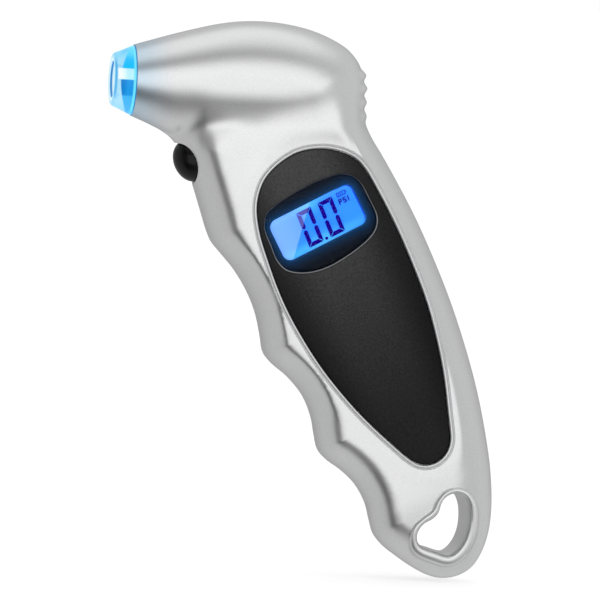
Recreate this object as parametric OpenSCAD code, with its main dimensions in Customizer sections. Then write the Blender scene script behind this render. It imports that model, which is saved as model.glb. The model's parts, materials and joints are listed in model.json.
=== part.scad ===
// Pistol-grip digital tyre pressure gauge, in millimetres.
// Frame: the valve nozzle opens along -X with its mouth centre at the origin,
// +Z is up, the display looks along -Y and the housing splits on the plane y = 0.

/* [Housing] */
// Wall thickness of the two housing shells
wall = 2.0; // [1.6:0.1:2.4]
// Half thickness of the head where it is fattest
head_half_t = 13.1; // [12.6:0.1:13.6]
// Half thickness of the handle at the display
grip_half_t = 11.3; // [11.2:0.1:11.8]
// Squareness of the handle's cross-section, where 2 is an ellipse
grip_power = 3.2; // [2.8:0.1:3.6]
// Points round one housing cross-section
ring_points = 24; // [16:4:32]
// Height that the grip ribs stand proud at the back of the head
rib_r = 1.5; // [1.3:0.1:1.6]
// Width of the raised bead round the lanyard hole
bead_w = 1.6; // [1.2:0.1:1.8]

/* [Nozzle] */
// Radius of the socket that goes over the tyre valve
socket_r = 4.2; // [4.1:0.05:4.4]
// Depth of the straight socket wall
socket_len = 7.5; // [7:0.1:7.5]
// Outside radius of the nozzle's mouth
tip_r = 7.4; // [7:0.1:7.8]
// Outside radius of the nozzle where it meets the housing
tip_base_r = 9.4; // [9:0.1:9.5]

/* [Display] */
// Angle that the display and the handle lean back from upright
handle_angle = 29.5; // [29.5]
// Width of the liquid crystal glass
glass_w = 29.0; // [28:0.5:29.4]
// Height of the liquid crystal glass
glass_h = 16.0; // [15:0.5:16.4]
// Width of the visible picture
view_w = 25.0; // [24:0.5:26]
// Height of the visible picture
view_h = 11.9; // [11.5:0.1:12.5]
// Thickness of the black fascia
fascia_t = 1.6; // [1.2:0.1:1.6]

/* [Power button] */
// Radius of the power button
button_r = 5.8; // [5.6:0.1:6]
// How far the power button stands proud of the housing
button_proud = 2.6; // [2:0.1:3]
// How far the power button travels
button_travel = 0.5; // [0.3:0.1:0.5]

/* [Circuit board] */
// Thickness of the circuit board
board_t = 1.6; // [1.2:0.2:1.6]
// Distance of the board's front face in front of the housing's parting plane
board_front = 4.4; // [4.4]

/* [Batteries] */
// Radius of the display's coin cell
coin_r = 10.0; // [10]
// Thickness of the display's coin cell
coin_t = 3.2; // [3.2]
// Radius of one of the lamp's button cells
cell_r = 5.8; // [5.8]
// Length of one of the lamp's button cells
cell_t = 5.3; // [5.3]

/* [Fasteners] */
// Shank radius of the housing screws
screw_r = 1.25; // [1.1:0.05:1.3]
// Head radius of the housing screws
screw_head_r = 2.4; // [2.2:0.1:2.5]

/* [Hidden] */
$fn = 48;

fit = 0.15;             // clearance round parts seated in the housing
lcd_x = 56.9;           // centre of the display
lcd_z = -35.3;
face_y = 11.0;          // the fascia's face stands this far in front of the parting plane
face_tilt = 1.3;        // the handle thins towards its tail by this angle
button_seat = [20.9, 0, -21.65]; // centre of the button's seat on the outline
button_angle = 25.9;    // the button is pushed along +X, raised by this angle
board_y0 = -board_front;
board_y1 = board_y0 + board_t;
boss_reach = 13;        // bosses run this far from the parting plane, then are trimmed
boss_r = 2.8;           // housing screw boss at the parting plane
screw_seat_y = 5;       // under the housing screws' heads

// Nozzle parts
flange_r = 7.35;        // flanges of the nozzle and manifold
neck_r = 6.35;          // groove between the nozzle's flanges
insert_r = 5.2;         // seal, pin disc and manifold inside the nozzle
led_z = -5.75;          // axis of the nozzle lamp

// Battery bay, in the handle frame
door_x = [-15, 13];
door_z = [-63.5, -11.5];
door_y = 7.75;          // inner face of the door
tray_x = widen(door_x, -1);
tray_z = widen(door_z, -1);
tray_y = 7.6;           // rear face of the tray
bay_x = (door_x[0] + door_x[1]) / 2;
coin_y = 3.1;           // front face of the coin cell
coin_z = -24.6;
cell_y = 1.4;           // axis of the button cells
cell_z = -47.7;
door_screw_z = -59;
door_seat_y = 8.7;      // under the door screw's head

// The outline as rungs of a ladder, from the nozzle round to the tail:
// finger side x, z, then back x, z, then half thickness, then squareness.
rungs = [
    [5.75, -9.6, 5.75, 9.6, 9.6, 2], [9, -10.7, 10.5, 11.1, 10.5, 2],
    [12, -12, 16, 12.9, 11.2, 2], [14.8, -13.5, 22, 14.6, 11.8, 2],
    [17.2, -15.3, 28.5, 16.3, 12.3, 2], [18.8, -17.3, 35, 17.3, 12.7, 2],
    [19.9, -19.6, 41.5, 17.5, 13, 2], [20.8, -21.5, 48, 16.9, head_half_t, 2],
    [21.7, -23.3, 54, 15.6, head_half_t, 2.05], [22.6, -25.1, 59.3, 13.6, 12.9, 2.1],
    [23.4, -26.9, 63.6, 11, 12.6, 2.2], [24.1, -28.9, 66.4, 7.2, 12.3, 2.3],
    [24.7, -30.6, 67.8, 2.4, 12, 2.45], [25.3, -32.3, 68.5, -3.5, 11.8, 2.6],
    [26.1, -34.5, 69.6, -8.8, 11.7, 2.8], [27.3, -38, 71.8, -12.8, 11.6, 3],
    [28.6, -41, 74.4, -16.4, grip_half_t + 0.2, grip_power],
    [29.6, -42.6, 76, -18.8, grip_half_t + 0.1, grip_power],
    [32, -45.2, 78.2, -22.3, grip_half_t, grip_power],
    [36, -49.5, 81, -27, grip_half_t, grip_power],
    [40, -55.5, 84, -32.3, grip_half_t - 0.1, grip_power],
    [42.5, -61, 86.6, -37.2, grip_half_t - 0.2, grip_power],
    [44, -67, 89.5, -43, grip_half_t - 0.4, grip_power],
    [45, -71.3, 91.8, -47.8, grip_half_t - 0.5, grip_power],
    [46.8, -73.6, 93.2, -51, grip_half_t - 0.6, grip_power],
    [52, -77.5, 95.5, -56.3, grip_half_t - 0.8, grip_power],
    [56.5, -82.5, 98, -62.4, grip_half_t - 1, grip_power],
    [59, -88, 100.4, -69.3, grip_half_t - 1.2, grip_power],
    [60.2, -93, 102.2, -75, grip_half_t - 1.4, grip_power],
    [61.2, -96.5, 103.4, -78.6, grip_half_t - 1.5, grip_power],
    [63.5, -99, 104.4, -82, grip_half_t - 1.7, grip_power],
    [68, -102, 105.5, -86.3, grip_half_t - 1.9, grip_power],
    [72, -105.5, 106.6, -91.2, grip_half_t - 2.2, 3],
    [75, -110.5, 107.8, -97.5, grip_half_t - 2.7, 2.9],
    [76.3, -115, 108.7, -103.6, grip_half_t - 3.2, 2.8],
    [77.4, -118.2, 109.1, -108, grip_half_t - 3.5, 2.7],
    [80, -121.5, 109.2, -111.5, grip_half_t - 3.8, 2.6],
    [85, -125, 109.1, -115, grip_half_t - 4.2, 2.5],
    [89, -127.2, 108.4, -118.5, grip_half_t - 4.7, 2.4],
    [92, -128.5, 107.2, -122, grip_half_t - 5.4, 2.3],
    [94.5, -129.3, 105.3, -125.3, grip_half_t - 6.4, 2.2],
    [97, -129.7, 102, -128.2, grip_half_t - 8.6, 2]
];
cavity_rungs = [4:31];  // rungs that the hollow runs through

// Teardrop fascia, as x, z
fascia_outline = smooth_loop([[56.5, -15.3], [50, -16.6], [45, -19.9], [41.5, -24], [39.7, -30],
    [40.1, -35], [43.1, -45], [50, -60], [60, -74.5], [70, -85.3], [80, -93.9], [85, -97.6],
    [89.5, -99.3], [94, -97], [95.9, -92.5], [94.9, -85], [93.1, -75], [90.5, -65], [87.2, -55],
    [82.6, -45], [77.7, -35], [71.6, -25], [66, -18], [62, -16]], 2);
// Barrel-shaped display window, as x, z
window_outline = smooth_loop([[63, -21.9], [55, -24.6], [50, -27.5], [45, -31], [42, -35.5],
    [44, -42], [48.5, -48.3], [56, -48.5], [65, -43.8], [72, -36.5], [72.3, -32.5],
    [67.5, -24.2]], 2);
// Heart-shaped lanyard hole, as x, z
heart_outline = smooth_loop([[98, -106.4], [95, -108.3], [94, -111.5], [90.4, -114.8],
    [88.5, -118.5], [90.2, -121.2], [94, -122.4], [98, -123], [101, -119.5], [102.1, -112],
    [101, -107.9]], 2);
// Circuit board, as x, z in the handle frame
board_outline = [[-17, -30], [15.8, -30], [15.8, 17], [1.5, 17], [1.5, 32.4], [-17.5, 32.4],
    [-18.8, 31], [-18.8, 21], [-17, 19]];
// Housing screws, as x, z
screw_at = [[28, 10.4], [60.5, 3.6], [33.5, -37.6], [78.1, -32.4], [56.6, -74.6], [85.5, -102.5]];
// Board screws, as x, z in the handle frame
board_screw_at = [[-14, -27], [13, -27], [12.6, 13.4], [-6, 24.5]];
// Grip ribs at the back of the head, as x, z
rib_at = [[67.2, 5], [67.8, 1.1], [68, -2.8], [68.4, -6.5]];

// Spans, as [low, high]
function both(half) = [-half, half];
function widen(span, margin) = [span[0] - margin, span[1] + margin];

// Smooth (Catmull-Rom) curves through points, open and closed
function curve(before, start, end, after, t) = 0.5 * (2 * start + (end - before) * t
    + (2 * before - 5 * start + 4 * end - after) * t * t
    + (3 * start - before - 3 * end + after) * t * t * t);
function smooth_open(points, steps) = let (last = len(points) - 1) [
    for (i = [0:last - 1]) for (k = [0:steps - 1])
        curve(points[max(i - 1, 0)], points[i], points[i + 1], points[min(i + 2, last)], k / steps),
    points[last]];
function smooth_loop(points, steps) = let (count = len(points)) [
    for (i = [0:count - 1]) for (k = [0:steps - 1])
        curve(points[(i + count - 1) % count], points[i], points[(i + 1) % count],
            points[(i + 2) % count], k / steps)];

// An outline scaled about the mean of its points
function grow(points, factor) = let (middle = [for (point = points) 1] * points / len(points))
    [for (point = points) middle + (point - middle) * factor];

// One superellipse cross-section of the housing, taken in by a margin
function signed_pow(value, power) = sign(value) * pow(abs(value), power);
function ring(rung, margin, count) = let (
        finger = [rung[0], rung[1]],
        back = [rung[2], rung[3]],
        middle = (finger + back) / 2,
        span = norm(back - finger),
        across = (back - finger) / span,
        half_w = span / 2 - margin * 1.06,
        half_t = rung[4] - margin,
        power = 2 / rung[5])
    [for (j = [0:count - 1]) let (
            angle = 360 * j / count,
            point = middle + across * half_w * signed_pow(cos(angle), power))
        [point[0], half_t * signed_pow(sin(angle), power), point[1]]];

// Skin over a list of rings, closed with flat ends
module skin(rings) {
    sides = len(rings[0]);
    last = len(rings) - 1;
    walls = [for (i = [0:last - 1]) for (j = [0:sides - 1])
        let (low = i * sides, high = low + sides, next = (j + 1) % sides)
        for (face = [[low + j, high + next, high + j], [low + j, low + next, high + next]]) face];
    polyhedron(
        points = [for (loop = rings) each loop],
        faces = concat([[for (j = [sides - 1:-1:0]) j]],
            [[for (j = [0:sides - 1]) last * sides + j]], walls),
        convexity = 6);
}

// A round wire through points
module wire(points, radius, steps = 5, sides = 8) {
    path = smooth_open(points, steps);
    last = len(path) - 1;
    skin([for (i = [0:last]) let (
            step = path[min(i + 1, last)] - path[max(i - 1, 0)],
            along = step / norm(step),
            normal = cross(along, abs(along[1]) > 0.9 ? [1, 0, 0] : [0, 1, 0]),
            side = normal / norm(normal),
            other = cross(along, side))
        [for (j = [0:sides - 1])
            path[i] + radius * (side * cos(360 * j / sides) - other * sin(360 * j / sides))]]);
}

// Handle frame: x across the handle and z up it
module in_handle() translate([lcd_x, 0, lcd_z]) rotate([0, -handle_angle, 0]) children();
// Face frame: as the handle's, but with y going in from the fascia's face
module in_face() translate([lcd_x, -face_y, lcd_z])
    rotate([0, -handle_angle, 0]) rotate([face_tilt, 0, 0]) children();
// Button frame: x going in
module in_button() translate(button_seat) rotate([0, -button_angle, 0]) children();

module at_each(places) for (place = places) translate([place[0], 0, place[1]]) children();
module at_screws() at_each(screw_at) children();
module at_board_screws() in_handle() at_each(board_screw_at) children();

// Flat x, z shapes pushed through from one y to another
module push_y(from_y, to_y) translate([0, to_y, 0]) rotate([90, 0, 0])
    linear_extrude(to_y - from_y) children();
module plate(outline, from_y, to_y) push_y(from_y, to_y) polygon(outline);
module wide_plate(outline, margin, from_y, to_y) push_y(from_y, to_y)
    offset(delta = margin) polygon(outline);
module rounded(x, z, radius, from_y, to_y) push_y(from_y, to_y) hull()
    for (corner_x = widen(x, -radius), corner_z = widen(z, -radius))
        translate([corner_x, corner_z]) circle(r = radius, $fn = 20);

// Box from three spans, cylinders along y and x, and a profile of radius, x turned about x
module box(x, y, z) translate([x[0], y[0], z[0]]) cube([x[1] - x[0], y[1] - y[0], z[1] - z[0]]);
module post(radius, from_y, to_y) translate([0, to_y, 0]) rotate([90, 0, 0])
    cylinder(r = radius, h = to_y - from_y);
module rod(radius, from_x, to_x) translate([from_x, 0, 0]) rotate([0, 90, 0])
    cylinder(r = radius, h = to_x - from_x);
module turned(profile) rotate([0, 90, 0]) rotate_extrude() polygon(profile);

// Everything between two depths behind the fascia's face
module face_layer(from_depth, to_depth) in_face() box(both(70), [from_depth, to_depth], [-110, 60]);
// Trims display parts off just in front of the circuit board
module board_trim(gap) in_handle() box(both(40), [board_y0 - gap, 20], both(30));
// The battery door's outline, widened by a margin
module door_plate(margin, radius, from_y, to_y) in_handle()
    rounded(widen(door_x, margin), widen(door_z, margin), radius, from_y, to_y);
module heart_hole() plate(heart_outline, -20, 20);
module led_hole(from_x, to_x) translate([0, 0, led_z]) rod(1.7, from_x, to_x);

// Screw with a cross-slotted head towards +y
module screw(radius, head_r, head_t, tip_y, seat_y) difference() {
    union() {
        post(radius, tip_y, seat_y + 0.1);
        post(head_r, seat_y, seat_y + head_t);
    }
    for (angle = [0, 90]) translate([0, seat_y + head_t + 0.2, 0]) rotate([0, angle, 0])
        box(both(head_r * 0.6), [-0.9, 0.3], both(0.3));
}

// Housing shells; side is -1 for the front and 1 for the rear
module outer_body() skin([for (rung = rungs) ring(rung, 0, ring_points)]);
module cavity() skin([for (i = cavity_rungs) ring(rungs[i], wall, 16)]);
module half_space(side) translate([-20, side > 0 ? 0 : -40, -150]) cube([160, 40, 200]);

// Hollow half of the body with its grip ribs
module shell_blank(side) {
    difference() {
        intersection() {
            outer_body();
            half_space(side);
        }
        cavity();
    }
    for (place = rib_at) intersection() {
        translate([place[0], 0, place[1]]) hull() for (y = [0, side * 6.4])
            translate([0, y, 0]) sphere(r = rib_r, $fn = 16);
        half_space(side);
    }
}

// Cuts for the nozzle, lamp, button and lanyard
module shell_cuts() {
    rod(flange_r + fit, 4, 9.5);
    rod(neck_r + fit, 4, 15.05);
    rod(flange_r + fit, 10.8, 15.05);
    rod(4.2, 14, 26);
    led_hole(12, 24);
    in_button() {
        rod(button_r + 0.3, -8, 5 + button_travel);
        box([3.4, 6.2], both(3.9), both(7.5));
        rod(2, 3, 10);
    }
    heart_hole();
}

module front_shell() color("silver") difference() {
    union() {
        shell_blank(-1);
        intersection() {
            outer_body();
            union() {
                at_screws() hull() {
                    post(boss_r, -boss_reach, 0, $fn = 16);
                    post(3.4, -boss_reach, -9, $fn = 16);
                }
                at_board_screws() post(2.4, -boss_reach, board_y0, $fn = 16);
            }
        }
        // Rim and floor round the fascia
        intersection() {
            wide_plate(fascia_outline, 1, -14, -5);
            face_layer(-0.35, 3.0);
        }
        // Bead round the lanyard hole
        difference() {
            wide_plate(heart_outline, bead_w, -grip_half_t + 2.9, -1);
            heart_hole();
        }
    }
    shell_cuts();
    intersection() {
        wide_plate(fascia_outline, fit, -16, -5);
        face_layer(-3, fascia_t + 0.1);
    }
    wide_plate(window_outline, fit, -16, -3);
    at_screws() post(1.4, -7, 0.5, $fn = 16);
    at_board_screws() post(0.98, -7.2, 0, $fn = 16);
}

module rear_shell() color("silver") difference() {
    union() {
        shell_blank(1);
        intersection() {
            outer_body();
            union() {
                at_screws() hull() {
                    post(boss_r, 0, boss_reach, $fn = 16);
                    post(3.6, 8, boss_reach, $fn = 16);
                }
                door_plate(1.4, 3, 5.8, 14);
            }
        }
    }
    shell_cuts();
    // Tray pocket, then the wider door opening
    door_plate(fit - 1, 0.4, 2, 7.8);
    door_plate(fit, 2.6, 7.7, 20);
    at_screws() {
        post(1.5, -0.5, 6, $fn = 16);
        post(screw_head_r + 0.3, screw_seat_y, 20, $fn = 20);
    }
}

module fascia() color([0.09, 0.09, 0.1]) difference() {
    intersection() {
        plate(fascia_outline, -16, -5);
        face_layer(0, fascia_t);
    }
    plate(window_outline, -17, -3);
}

module lcd_window() color([0.1, 0.2, 0.45, 0.5]) intersection() {
    plate(grow(window_outline, 0.985), -16, -5);
    face_layer(0.9, 2.9);
}

module lcd_frame() color([0.13, 0.13, 0.14]) difference() {
    in_face() box(both(15.6), [3.1, 9], both(9.6));
    in_face() box(both(view_w / 2 + 0.6), [2, 10], both(view_h / 2 + 0.6));
    in_face() box(both(14.8), [3.65, 12], both(8.4));
    board_trim(0.05);
}

// Two panes, the rear one shorter at the top
module lcd_glass() color([0.35, 0.6, 1]) in_face() {
    box(both(glass_w / 2), [3.7, 4.3], both(glass_h / 2));
    box(both(glass_w / 2), [4.3, 4.95], [-glass_h / 2, glass_h / 2 - 1.2]);
}

module lcd_connector() color([0.85, 0.75, 0.7]) difference() {
    in_face() box(both(13), [5, 9], [-7.9, -6.3]);
    board_trim(0.02);
}

// Panel with V-grooves in its rear face
module backlight_panel() color([0.92, 0.96, 1]) in_face() difference() {
    box([-12.4, 14.2], [5.05, 6.15], [-5.9, 6.6]);
    for (x = [-10:3:11]) translate([x, 6.15, 0]) rotate([0, 0, 45])
        box(both(0.2), both(0.2), [-5, 5.5]);
}

module backlight_leds() color([0.95, 0.95, 0.8]) in_handle() for (z = [-2, 3])
    box([-14.4, -13.0], [board_y0 - 1.1, board_y0], [z - 1.4, z + 1.4]);

module circuit_board() color([0.05, 0.3, 0.15]) difference() {
    in_handle() plate(board_outline, board_y0, board_y1);
    at_board_screws() post(1.1, -10, 0);
}

module controller_blob() color([0.05, 0.05, 0.06]) in_handle() intersection() {
    translate([2, board_y1 - 6.5, -6]) sphere(r = 8, $fn = 160);
    box(both(20), [board_y1, 10], both(20));
}

module board_components() color([0.75, 0.7, 0.6]) in_handle() {
    for (i = [0:4]) box([-12, -10.4], [board_y1, board_y1 + 0.5], [-20 + 4 * i, -19.2 + 4 * i]);
    for (i = [0:3]) box([9.5, 10.3], [board_y1, board_y1 + 0.8], [-18 + 5 * i, -16.4 + 5 * i]);
    box([-3, 2], [board_y1, board_y1 + 1.1], [4, 8]);
    translate([9, 0, 5.5]) post(1.5, board_y1, board_y1 + 2.4);
}

module board_screws() color([0.7, 0.7, 0.72]) at_board_screws()
    screw(0.85, 1.9, 1.2, -6.8, board_y1);
module housing_screws() color([0.7, 0.7, 0.72]) at_screws()
    screw(screw_r, screw_head_r, 1.5, -6.5, screw_seat_y);

// Domed cap with a cross bar and a stem behind it
module power_button() color([0.03, 0.03, 0.03]) in_button() {
    top = -button_proud;
    turned([[0, top], [1.8, top + 0.12], [3.4, top + 0.5], [4.7, top + 1.2],
        [button_r - 0.35, top + 2.1], [button_r, top + 3.1], [button_r, 4.6], [0, 4.6]]);
    box([3.6, 4.6], both(3.5), both(7));
    rod(1.5, 4.5, 8);
}

module switch_body() color([0.12, 0.12, 0.12]) in_button() difference() {
    union() {
        box([9.2, 12.8], both(2.7), both(3.1));
        rod(2.3, 8.9, 9.3);
    }
    rod(1.55, 8, 11);
}
module switch_plunger() color([0.4, 0.05, 0.05]) in_button() rod(1.4, 8.02, 10.3);

module nozzle_tip() color([0.35, 0.75, 0.95, 0.7]) turned([[socket_r, 0], [tip_r - 0.9, 0],
    [tip_r - 0.3, 0.3], [tip_r, 1.1], [tip_base_r, 5.6], [flange_r, 5.6], [flange_r, 9.4],
    [neck_r, 9.4], [neck_r, 10.9], [flange_r, 10.9], [flange_r, 13], [insert_r + 0.1, 13],
    [insert_r + 0.1, socket_len], [socket_r, socket_len]]);

module valve_seal() color([0.15, 0.15, 0.15])
    turned([[2.2, 7.8], [2.6, 7.6], [insert_r, 7.6], [insert_r, 10.4], [2.2, 10.4]]);

// Stepped pin on a disc with three openings
module core_pin() color([0.8, 0.65, 0.3]) difference() {
    union() {
        rod(1.1, 7.9, 10.6);
        rod(insert_r, 10.45, 11.6);
        rod(0.7, 7.6, 8.7);
    }
    for (angle = [0:120:240]) rotate([angle, 0, 0]) box([10, 12], both(0.7), [1.6, 3.4]);
}

module air_manifold() color([0.2, 0.2, 0.22]) difference() {
    turned([[1.6, 11.65], [insert_r, 11.65], [insert_r, 13.1], [flange_r, 13.1], [flange_r, 15],
        [4.1, 15], [4.1, 23], [3.2, 23], [3.2, 19.5], [1.6, 19.5]]);
    led_hole(13.05, 16);
}

module sensor_seal() color([0.1, 0.1, 0.1]) translate([21, 0, 0]) rotate([0, 90, 0])
    rotate_extrude() translate([2.6, 0]) circle(r = 0.54);

module pressure_sensor() color([0.85, 0.85, 0.82]) difference() {
    union() {
        rod(2.0, 20, 24.5);
        rod(4.0, 24, 26.5);
        box([26, 31], both(5.4), both(6.2));
    }
    rod(0.8, 19, 27);
}

module sensor_leads() color([0.8, 0.8, 0.8]) for (i = [0:3])
    wire([[31.05, -1.5 + i, -4], [33, -1.5 + i, -4.3],
        [36.4 + i * 0.8, -1.1 + i * 0.55, -7.6 + i * 0.4],
        [38.1 + i * 1.1, -1.6, -11.2 + i * 0.6],
        [38.6 + i * 1.1, board_y1 + 0.5, -12.9 + i * 0.6]], 0.33);

module nozzle_led() color([0.8, 0.9, 1]) translate([0, 0, led_z]) {
    intersection() {
        translate([14.6, 0, 0]) sphere(r = 1.5);
        rod(3, 13, 14.6);
    }
    rod(1.5, 14.6, 17);
}

module led_leads() color([0.8, 0.1, 0.1]) for (side = [-1, 1]) {
    y = side * 0.7;
    wire([[17.05, y, led_z], [20, y, -5.8], [23, y - 0.3, -8.3], [29, y - 0.6, -9.6],
        [34.6, y - 1, -10.4], [36.3 + side, board_y1 + 0.6, -12.6 + side * 0.5]], 0.4);
}

// Shallow bay for the coin cell, deep bay for the button cells, and a screw post
module battery_tray() color([0.15, 0.15, 0.16]) in_handle() difference() {
    union() {
        box(tray_x, [1.6, tray_y], [-38, tray_z[1]]);
        box(tray_x, [-6, tray_y], [-55.4, -38]);
        box([-4, 2], [0, tray_y], [tray_z[0], -55]);
    }
    translate([bay_x, 0, coin_z]) post(coin_r + 0.4, 2.7, 9);
    box([-5, 3], [2.7, 9], [-37, -30]);
    box([-4.3, 2.3], [3.2, 9], [-22, -14.1]);
    box([-10.6, 11], [-4.7, 9], [-54, -41.4]);
    translate([bay_x, 0, door_screw_z]) post(1.45, -1, 9);
}

module coin_cell() color([0.8, 0.8, 0.82]) in_handle() translate([bay_x, 0, coin_z]) difference() {
    union() {
        post(coin_r, coin_y + 0.6, coin_y + coin_t);
        post(coin_r - 1.3, coin_y, coin_y + 0.7);
    }
    post(coin_r - 2, coin_y + coin_t - 0.1, 9);
}

module coin_contacts() color([0.85, 0.8, 0.6]) in_handle() {
    box([-3, 1], [2.72, 3.05], [-36.8, -18]);
    box([-4, 2], [3.4, 6.0], [-14.55, -14.28]);
}

module button_cells() color([0.78, 0.78, 0.8]) in_handle() for (i = [0:2])
    translate([-9 + i * (cell_t + 0.05), cell_y, cell_z]) {
        rod(cell_r, 0, cell_t - 0.8);
        rod(cell_r - 1.1, cell_t - 1, cell_t);
    }

// An end plate on each side and a conical spring at the back
module cell_contacts() color([0.85, 0.8, 0.6]) in_handle() {
    for (x = [-9.5, 10.3]) box([x, x + 0.4], [-3, 5.8], [-52, -43.4]);
    wire([for (k = [0:20]) let (angle = 50 * k, coil_r = 2.2 + 0.06 * k)
        [7.75 + 0.11 * k, cell_y + coil_r * cos(angle), cell_z + coil_r * sin(angle)]], 0.3, 2, 6);
}

module battery_leads() color([0.8, 0.1, 0.1]) in_handle() for (x = [-6, -3])
    wire([[x, 1.05, -36.6], [x, 0.6, -34], [x, -0.9, -30.5], [x, board_y1 + 0.55, -27.5]], 0.45);

// Door with eight grooves that shorten down the handle, and a stepped screw hole
module battery_door() color("silver") difference() {
    intersection() {
        outer_body();
        door_plate(0, 2.5, door_y, 14);
    }
    in_handle() {
        for (i = [0:7]) hull() for (x = [-7 + i * 0.4, 5 - i * 0.4])
            translate([x, 10.95 - i * 0.035, -16 - i * 1.5]) sphere(r = 0.5, $fn = 8);
        translate([bay_x, 0, door_screw_z]) {
            post(1.5, 0, 20, $fn = 24);
            post(2.5, door_seat_y, 20, $fn = 24);
        }
    }
}

module door_screw() color([0.7, 0.7, 0.72]) in_handle() translate([bay_x, 0, door_screw_z])
    screw(1.25, 2.2, 1.0, 1, door_seat_y);

front_shell();
rear_shell();
fascia();
lcd_window();
lcd_frame();
lcd_glass();
lcd_connector();
backlight_panel();
backlight_leds();
circuit_board();
controller_blob();
board_components();
board_screws();
housing_screws();
power_button();
switch_body();
switch_plunger();
nozzle_tip();
valve_seal();
core_pin();
air_manifold();
sensor_seal();
pressure_sensor();
sensor_leads();
nozzle_led();
led_leads();
battery_tray();
coin_cell();
coin_contacts();
button_cells();
cell_contacts();
battery_leads();
battery_door();
door_screw();
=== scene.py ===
"""A pistol-shaped digital pressure gauge: silver housing, black fascia, lit display, lit nozzle.

The housing halves meet on the plane y = 0. The nozzle points along -X on the axis y = z = 0, the
display faces -Y, and the handle runs down (-Z) and towards +X. Shapes are in mm and become metres
in new_object. Outlines are (x, z) points; "depth" is measured inwards from the fascia's face.
"""
import bpy
import bmesh
import json
import math
import numpy as np
from mathutils import Matrix, Vector, kdtree
from mathutils.geometry import delaunay_2d_cdt

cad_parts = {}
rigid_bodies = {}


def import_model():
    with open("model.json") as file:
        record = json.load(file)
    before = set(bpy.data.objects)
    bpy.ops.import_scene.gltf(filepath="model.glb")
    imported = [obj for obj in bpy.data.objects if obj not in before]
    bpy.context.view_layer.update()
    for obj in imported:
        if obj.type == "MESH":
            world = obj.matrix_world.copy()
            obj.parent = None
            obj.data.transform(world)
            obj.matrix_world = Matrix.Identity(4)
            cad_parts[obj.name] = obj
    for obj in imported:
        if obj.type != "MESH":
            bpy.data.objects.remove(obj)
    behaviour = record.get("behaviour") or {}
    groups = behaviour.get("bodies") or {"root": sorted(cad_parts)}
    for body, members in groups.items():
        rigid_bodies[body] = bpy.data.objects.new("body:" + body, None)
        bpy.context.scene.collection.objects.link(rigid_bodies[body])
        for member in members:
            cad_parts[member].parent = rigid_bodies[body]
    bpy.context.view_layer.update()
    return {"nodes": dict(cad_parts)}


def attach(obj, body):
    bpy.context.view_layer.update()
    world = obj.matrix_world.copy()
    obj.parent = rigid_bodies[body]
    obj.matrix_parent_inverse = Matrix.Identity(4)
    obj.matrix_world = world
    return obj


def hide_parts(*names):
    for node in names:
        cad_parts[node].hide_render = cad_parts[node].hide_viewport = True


for leftover in list(bpy.data.objects):
    bpy.data.objects.remove(leftover)
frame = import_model()
NODE = frame["nodes"]
SCENE = bpy.context.scene

# ---------------------------------------------------------------- dimensions, in mm
MM = 0.001      # metres in one mm
PER_MM = 1000   # mm in one metre

# Housing outline: from the nozzle along the top, down the back and round the tail
BACK_EDGE = [
    (5.75, 9.6), (10.5, 11.15), (16, 12.9), (22, 14.65), (28.5, 16.3), (35, 17.3), (41.5, 17.5),
    (48, 16.9), (54, 15.6), (59.3, 13.6), (63.6, 11.1), (66.5, 7.9), (67.8, 5), (68.4, 2),
    (68.7, -1.5), (68.9, -5), (69.5, -8.3), (71.3, -12), (74.4, -16.6), (78.2, -22.5),
    (84.1, -32.3), (89.7, -43), (95.4, -55.2), (100.6, -68.5), (104.2, -79.5), (106.9, -90),
    (108.9, -100), (109.8, -110), (109.4, -116.8), (107.9, -122.3), (105.3, -126.7),
    (101.5, -129.2), (97, -130)]
# and from the tail up the finger side to the nozzle
FINGER_EDGE = [
    (97, -130), (93.2, -129.3), (89, -127.4), (85, -125), (80.2, -121.6), (77.7, -118.7),
    (76.5, -115.3), (75, -110.5), (72, -105.7), (68, -102.1), (63.6, -99.2), (61.3, -96.7),
    (60.2, -93), (59, -88), (56.4, -82.5), (52, -77.6), (47.2, -73.9), (45, -71.2), (44, -67),
    (42.4, -61), (39.8, -55.3), (36, -49.6), (32, -45.2), (29.3, -42.2), (27.9, -39.4),
    (26, -34.2), (24.1, -28.9), (23.2, -26.5), (21.2, -21.8), (18.6, -17), (16.6, -14.8),
    (14.2, -13.2), (11.5, -11.9), (8.6, -10.7), (5.75, -9.6)]
FASCIA = [
    (56.5, -15.3), (50, -16.6), (45, -19.9), (41.5, -24), (40, -28), (39.6, -32), (40.1, -36),
    (41.3, -40.5), (43.1, -45.2), (46.2, -52.6), (50, -60), (55, -67.8), (60, -74.5),
    (65, -80.2), (70, -85.3), (75, -89.8), (80, -93.9), (84.4, -97.3), (87, -98.8),
    (89.6, -99.2), (92.1, -98.5), (94.2, -96.8), (95.5, -94.6), (95.95, -92), (95.6, -89),
    (94.9, -85), (93.1, -75), (90.5, -65), (87.1, -55), (82.6, -45), (77.5, -35),
    (71.8, -25.4), (68.6, -20.6), (65.9, -17.8), (62, -16)]
WINDOW = [
    (63, -21.9), (60, -22.5), (55, -24.6), (50, -27.5), (45, -31.1), (42.6, -33.4), (42, -35.6),
    (42.2, -38), (44, -42), (46, -46), (48.5, -48.3), (52, -49), (56, -48.5), (60, -47),
    (65, -43.8), (70, -39.5), (72, -36.7), (72.5, -34.5), (72.2, -32.3), (70, -28.2),
    (67.5, -24.2), (65.5, -22.5)]
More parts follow.
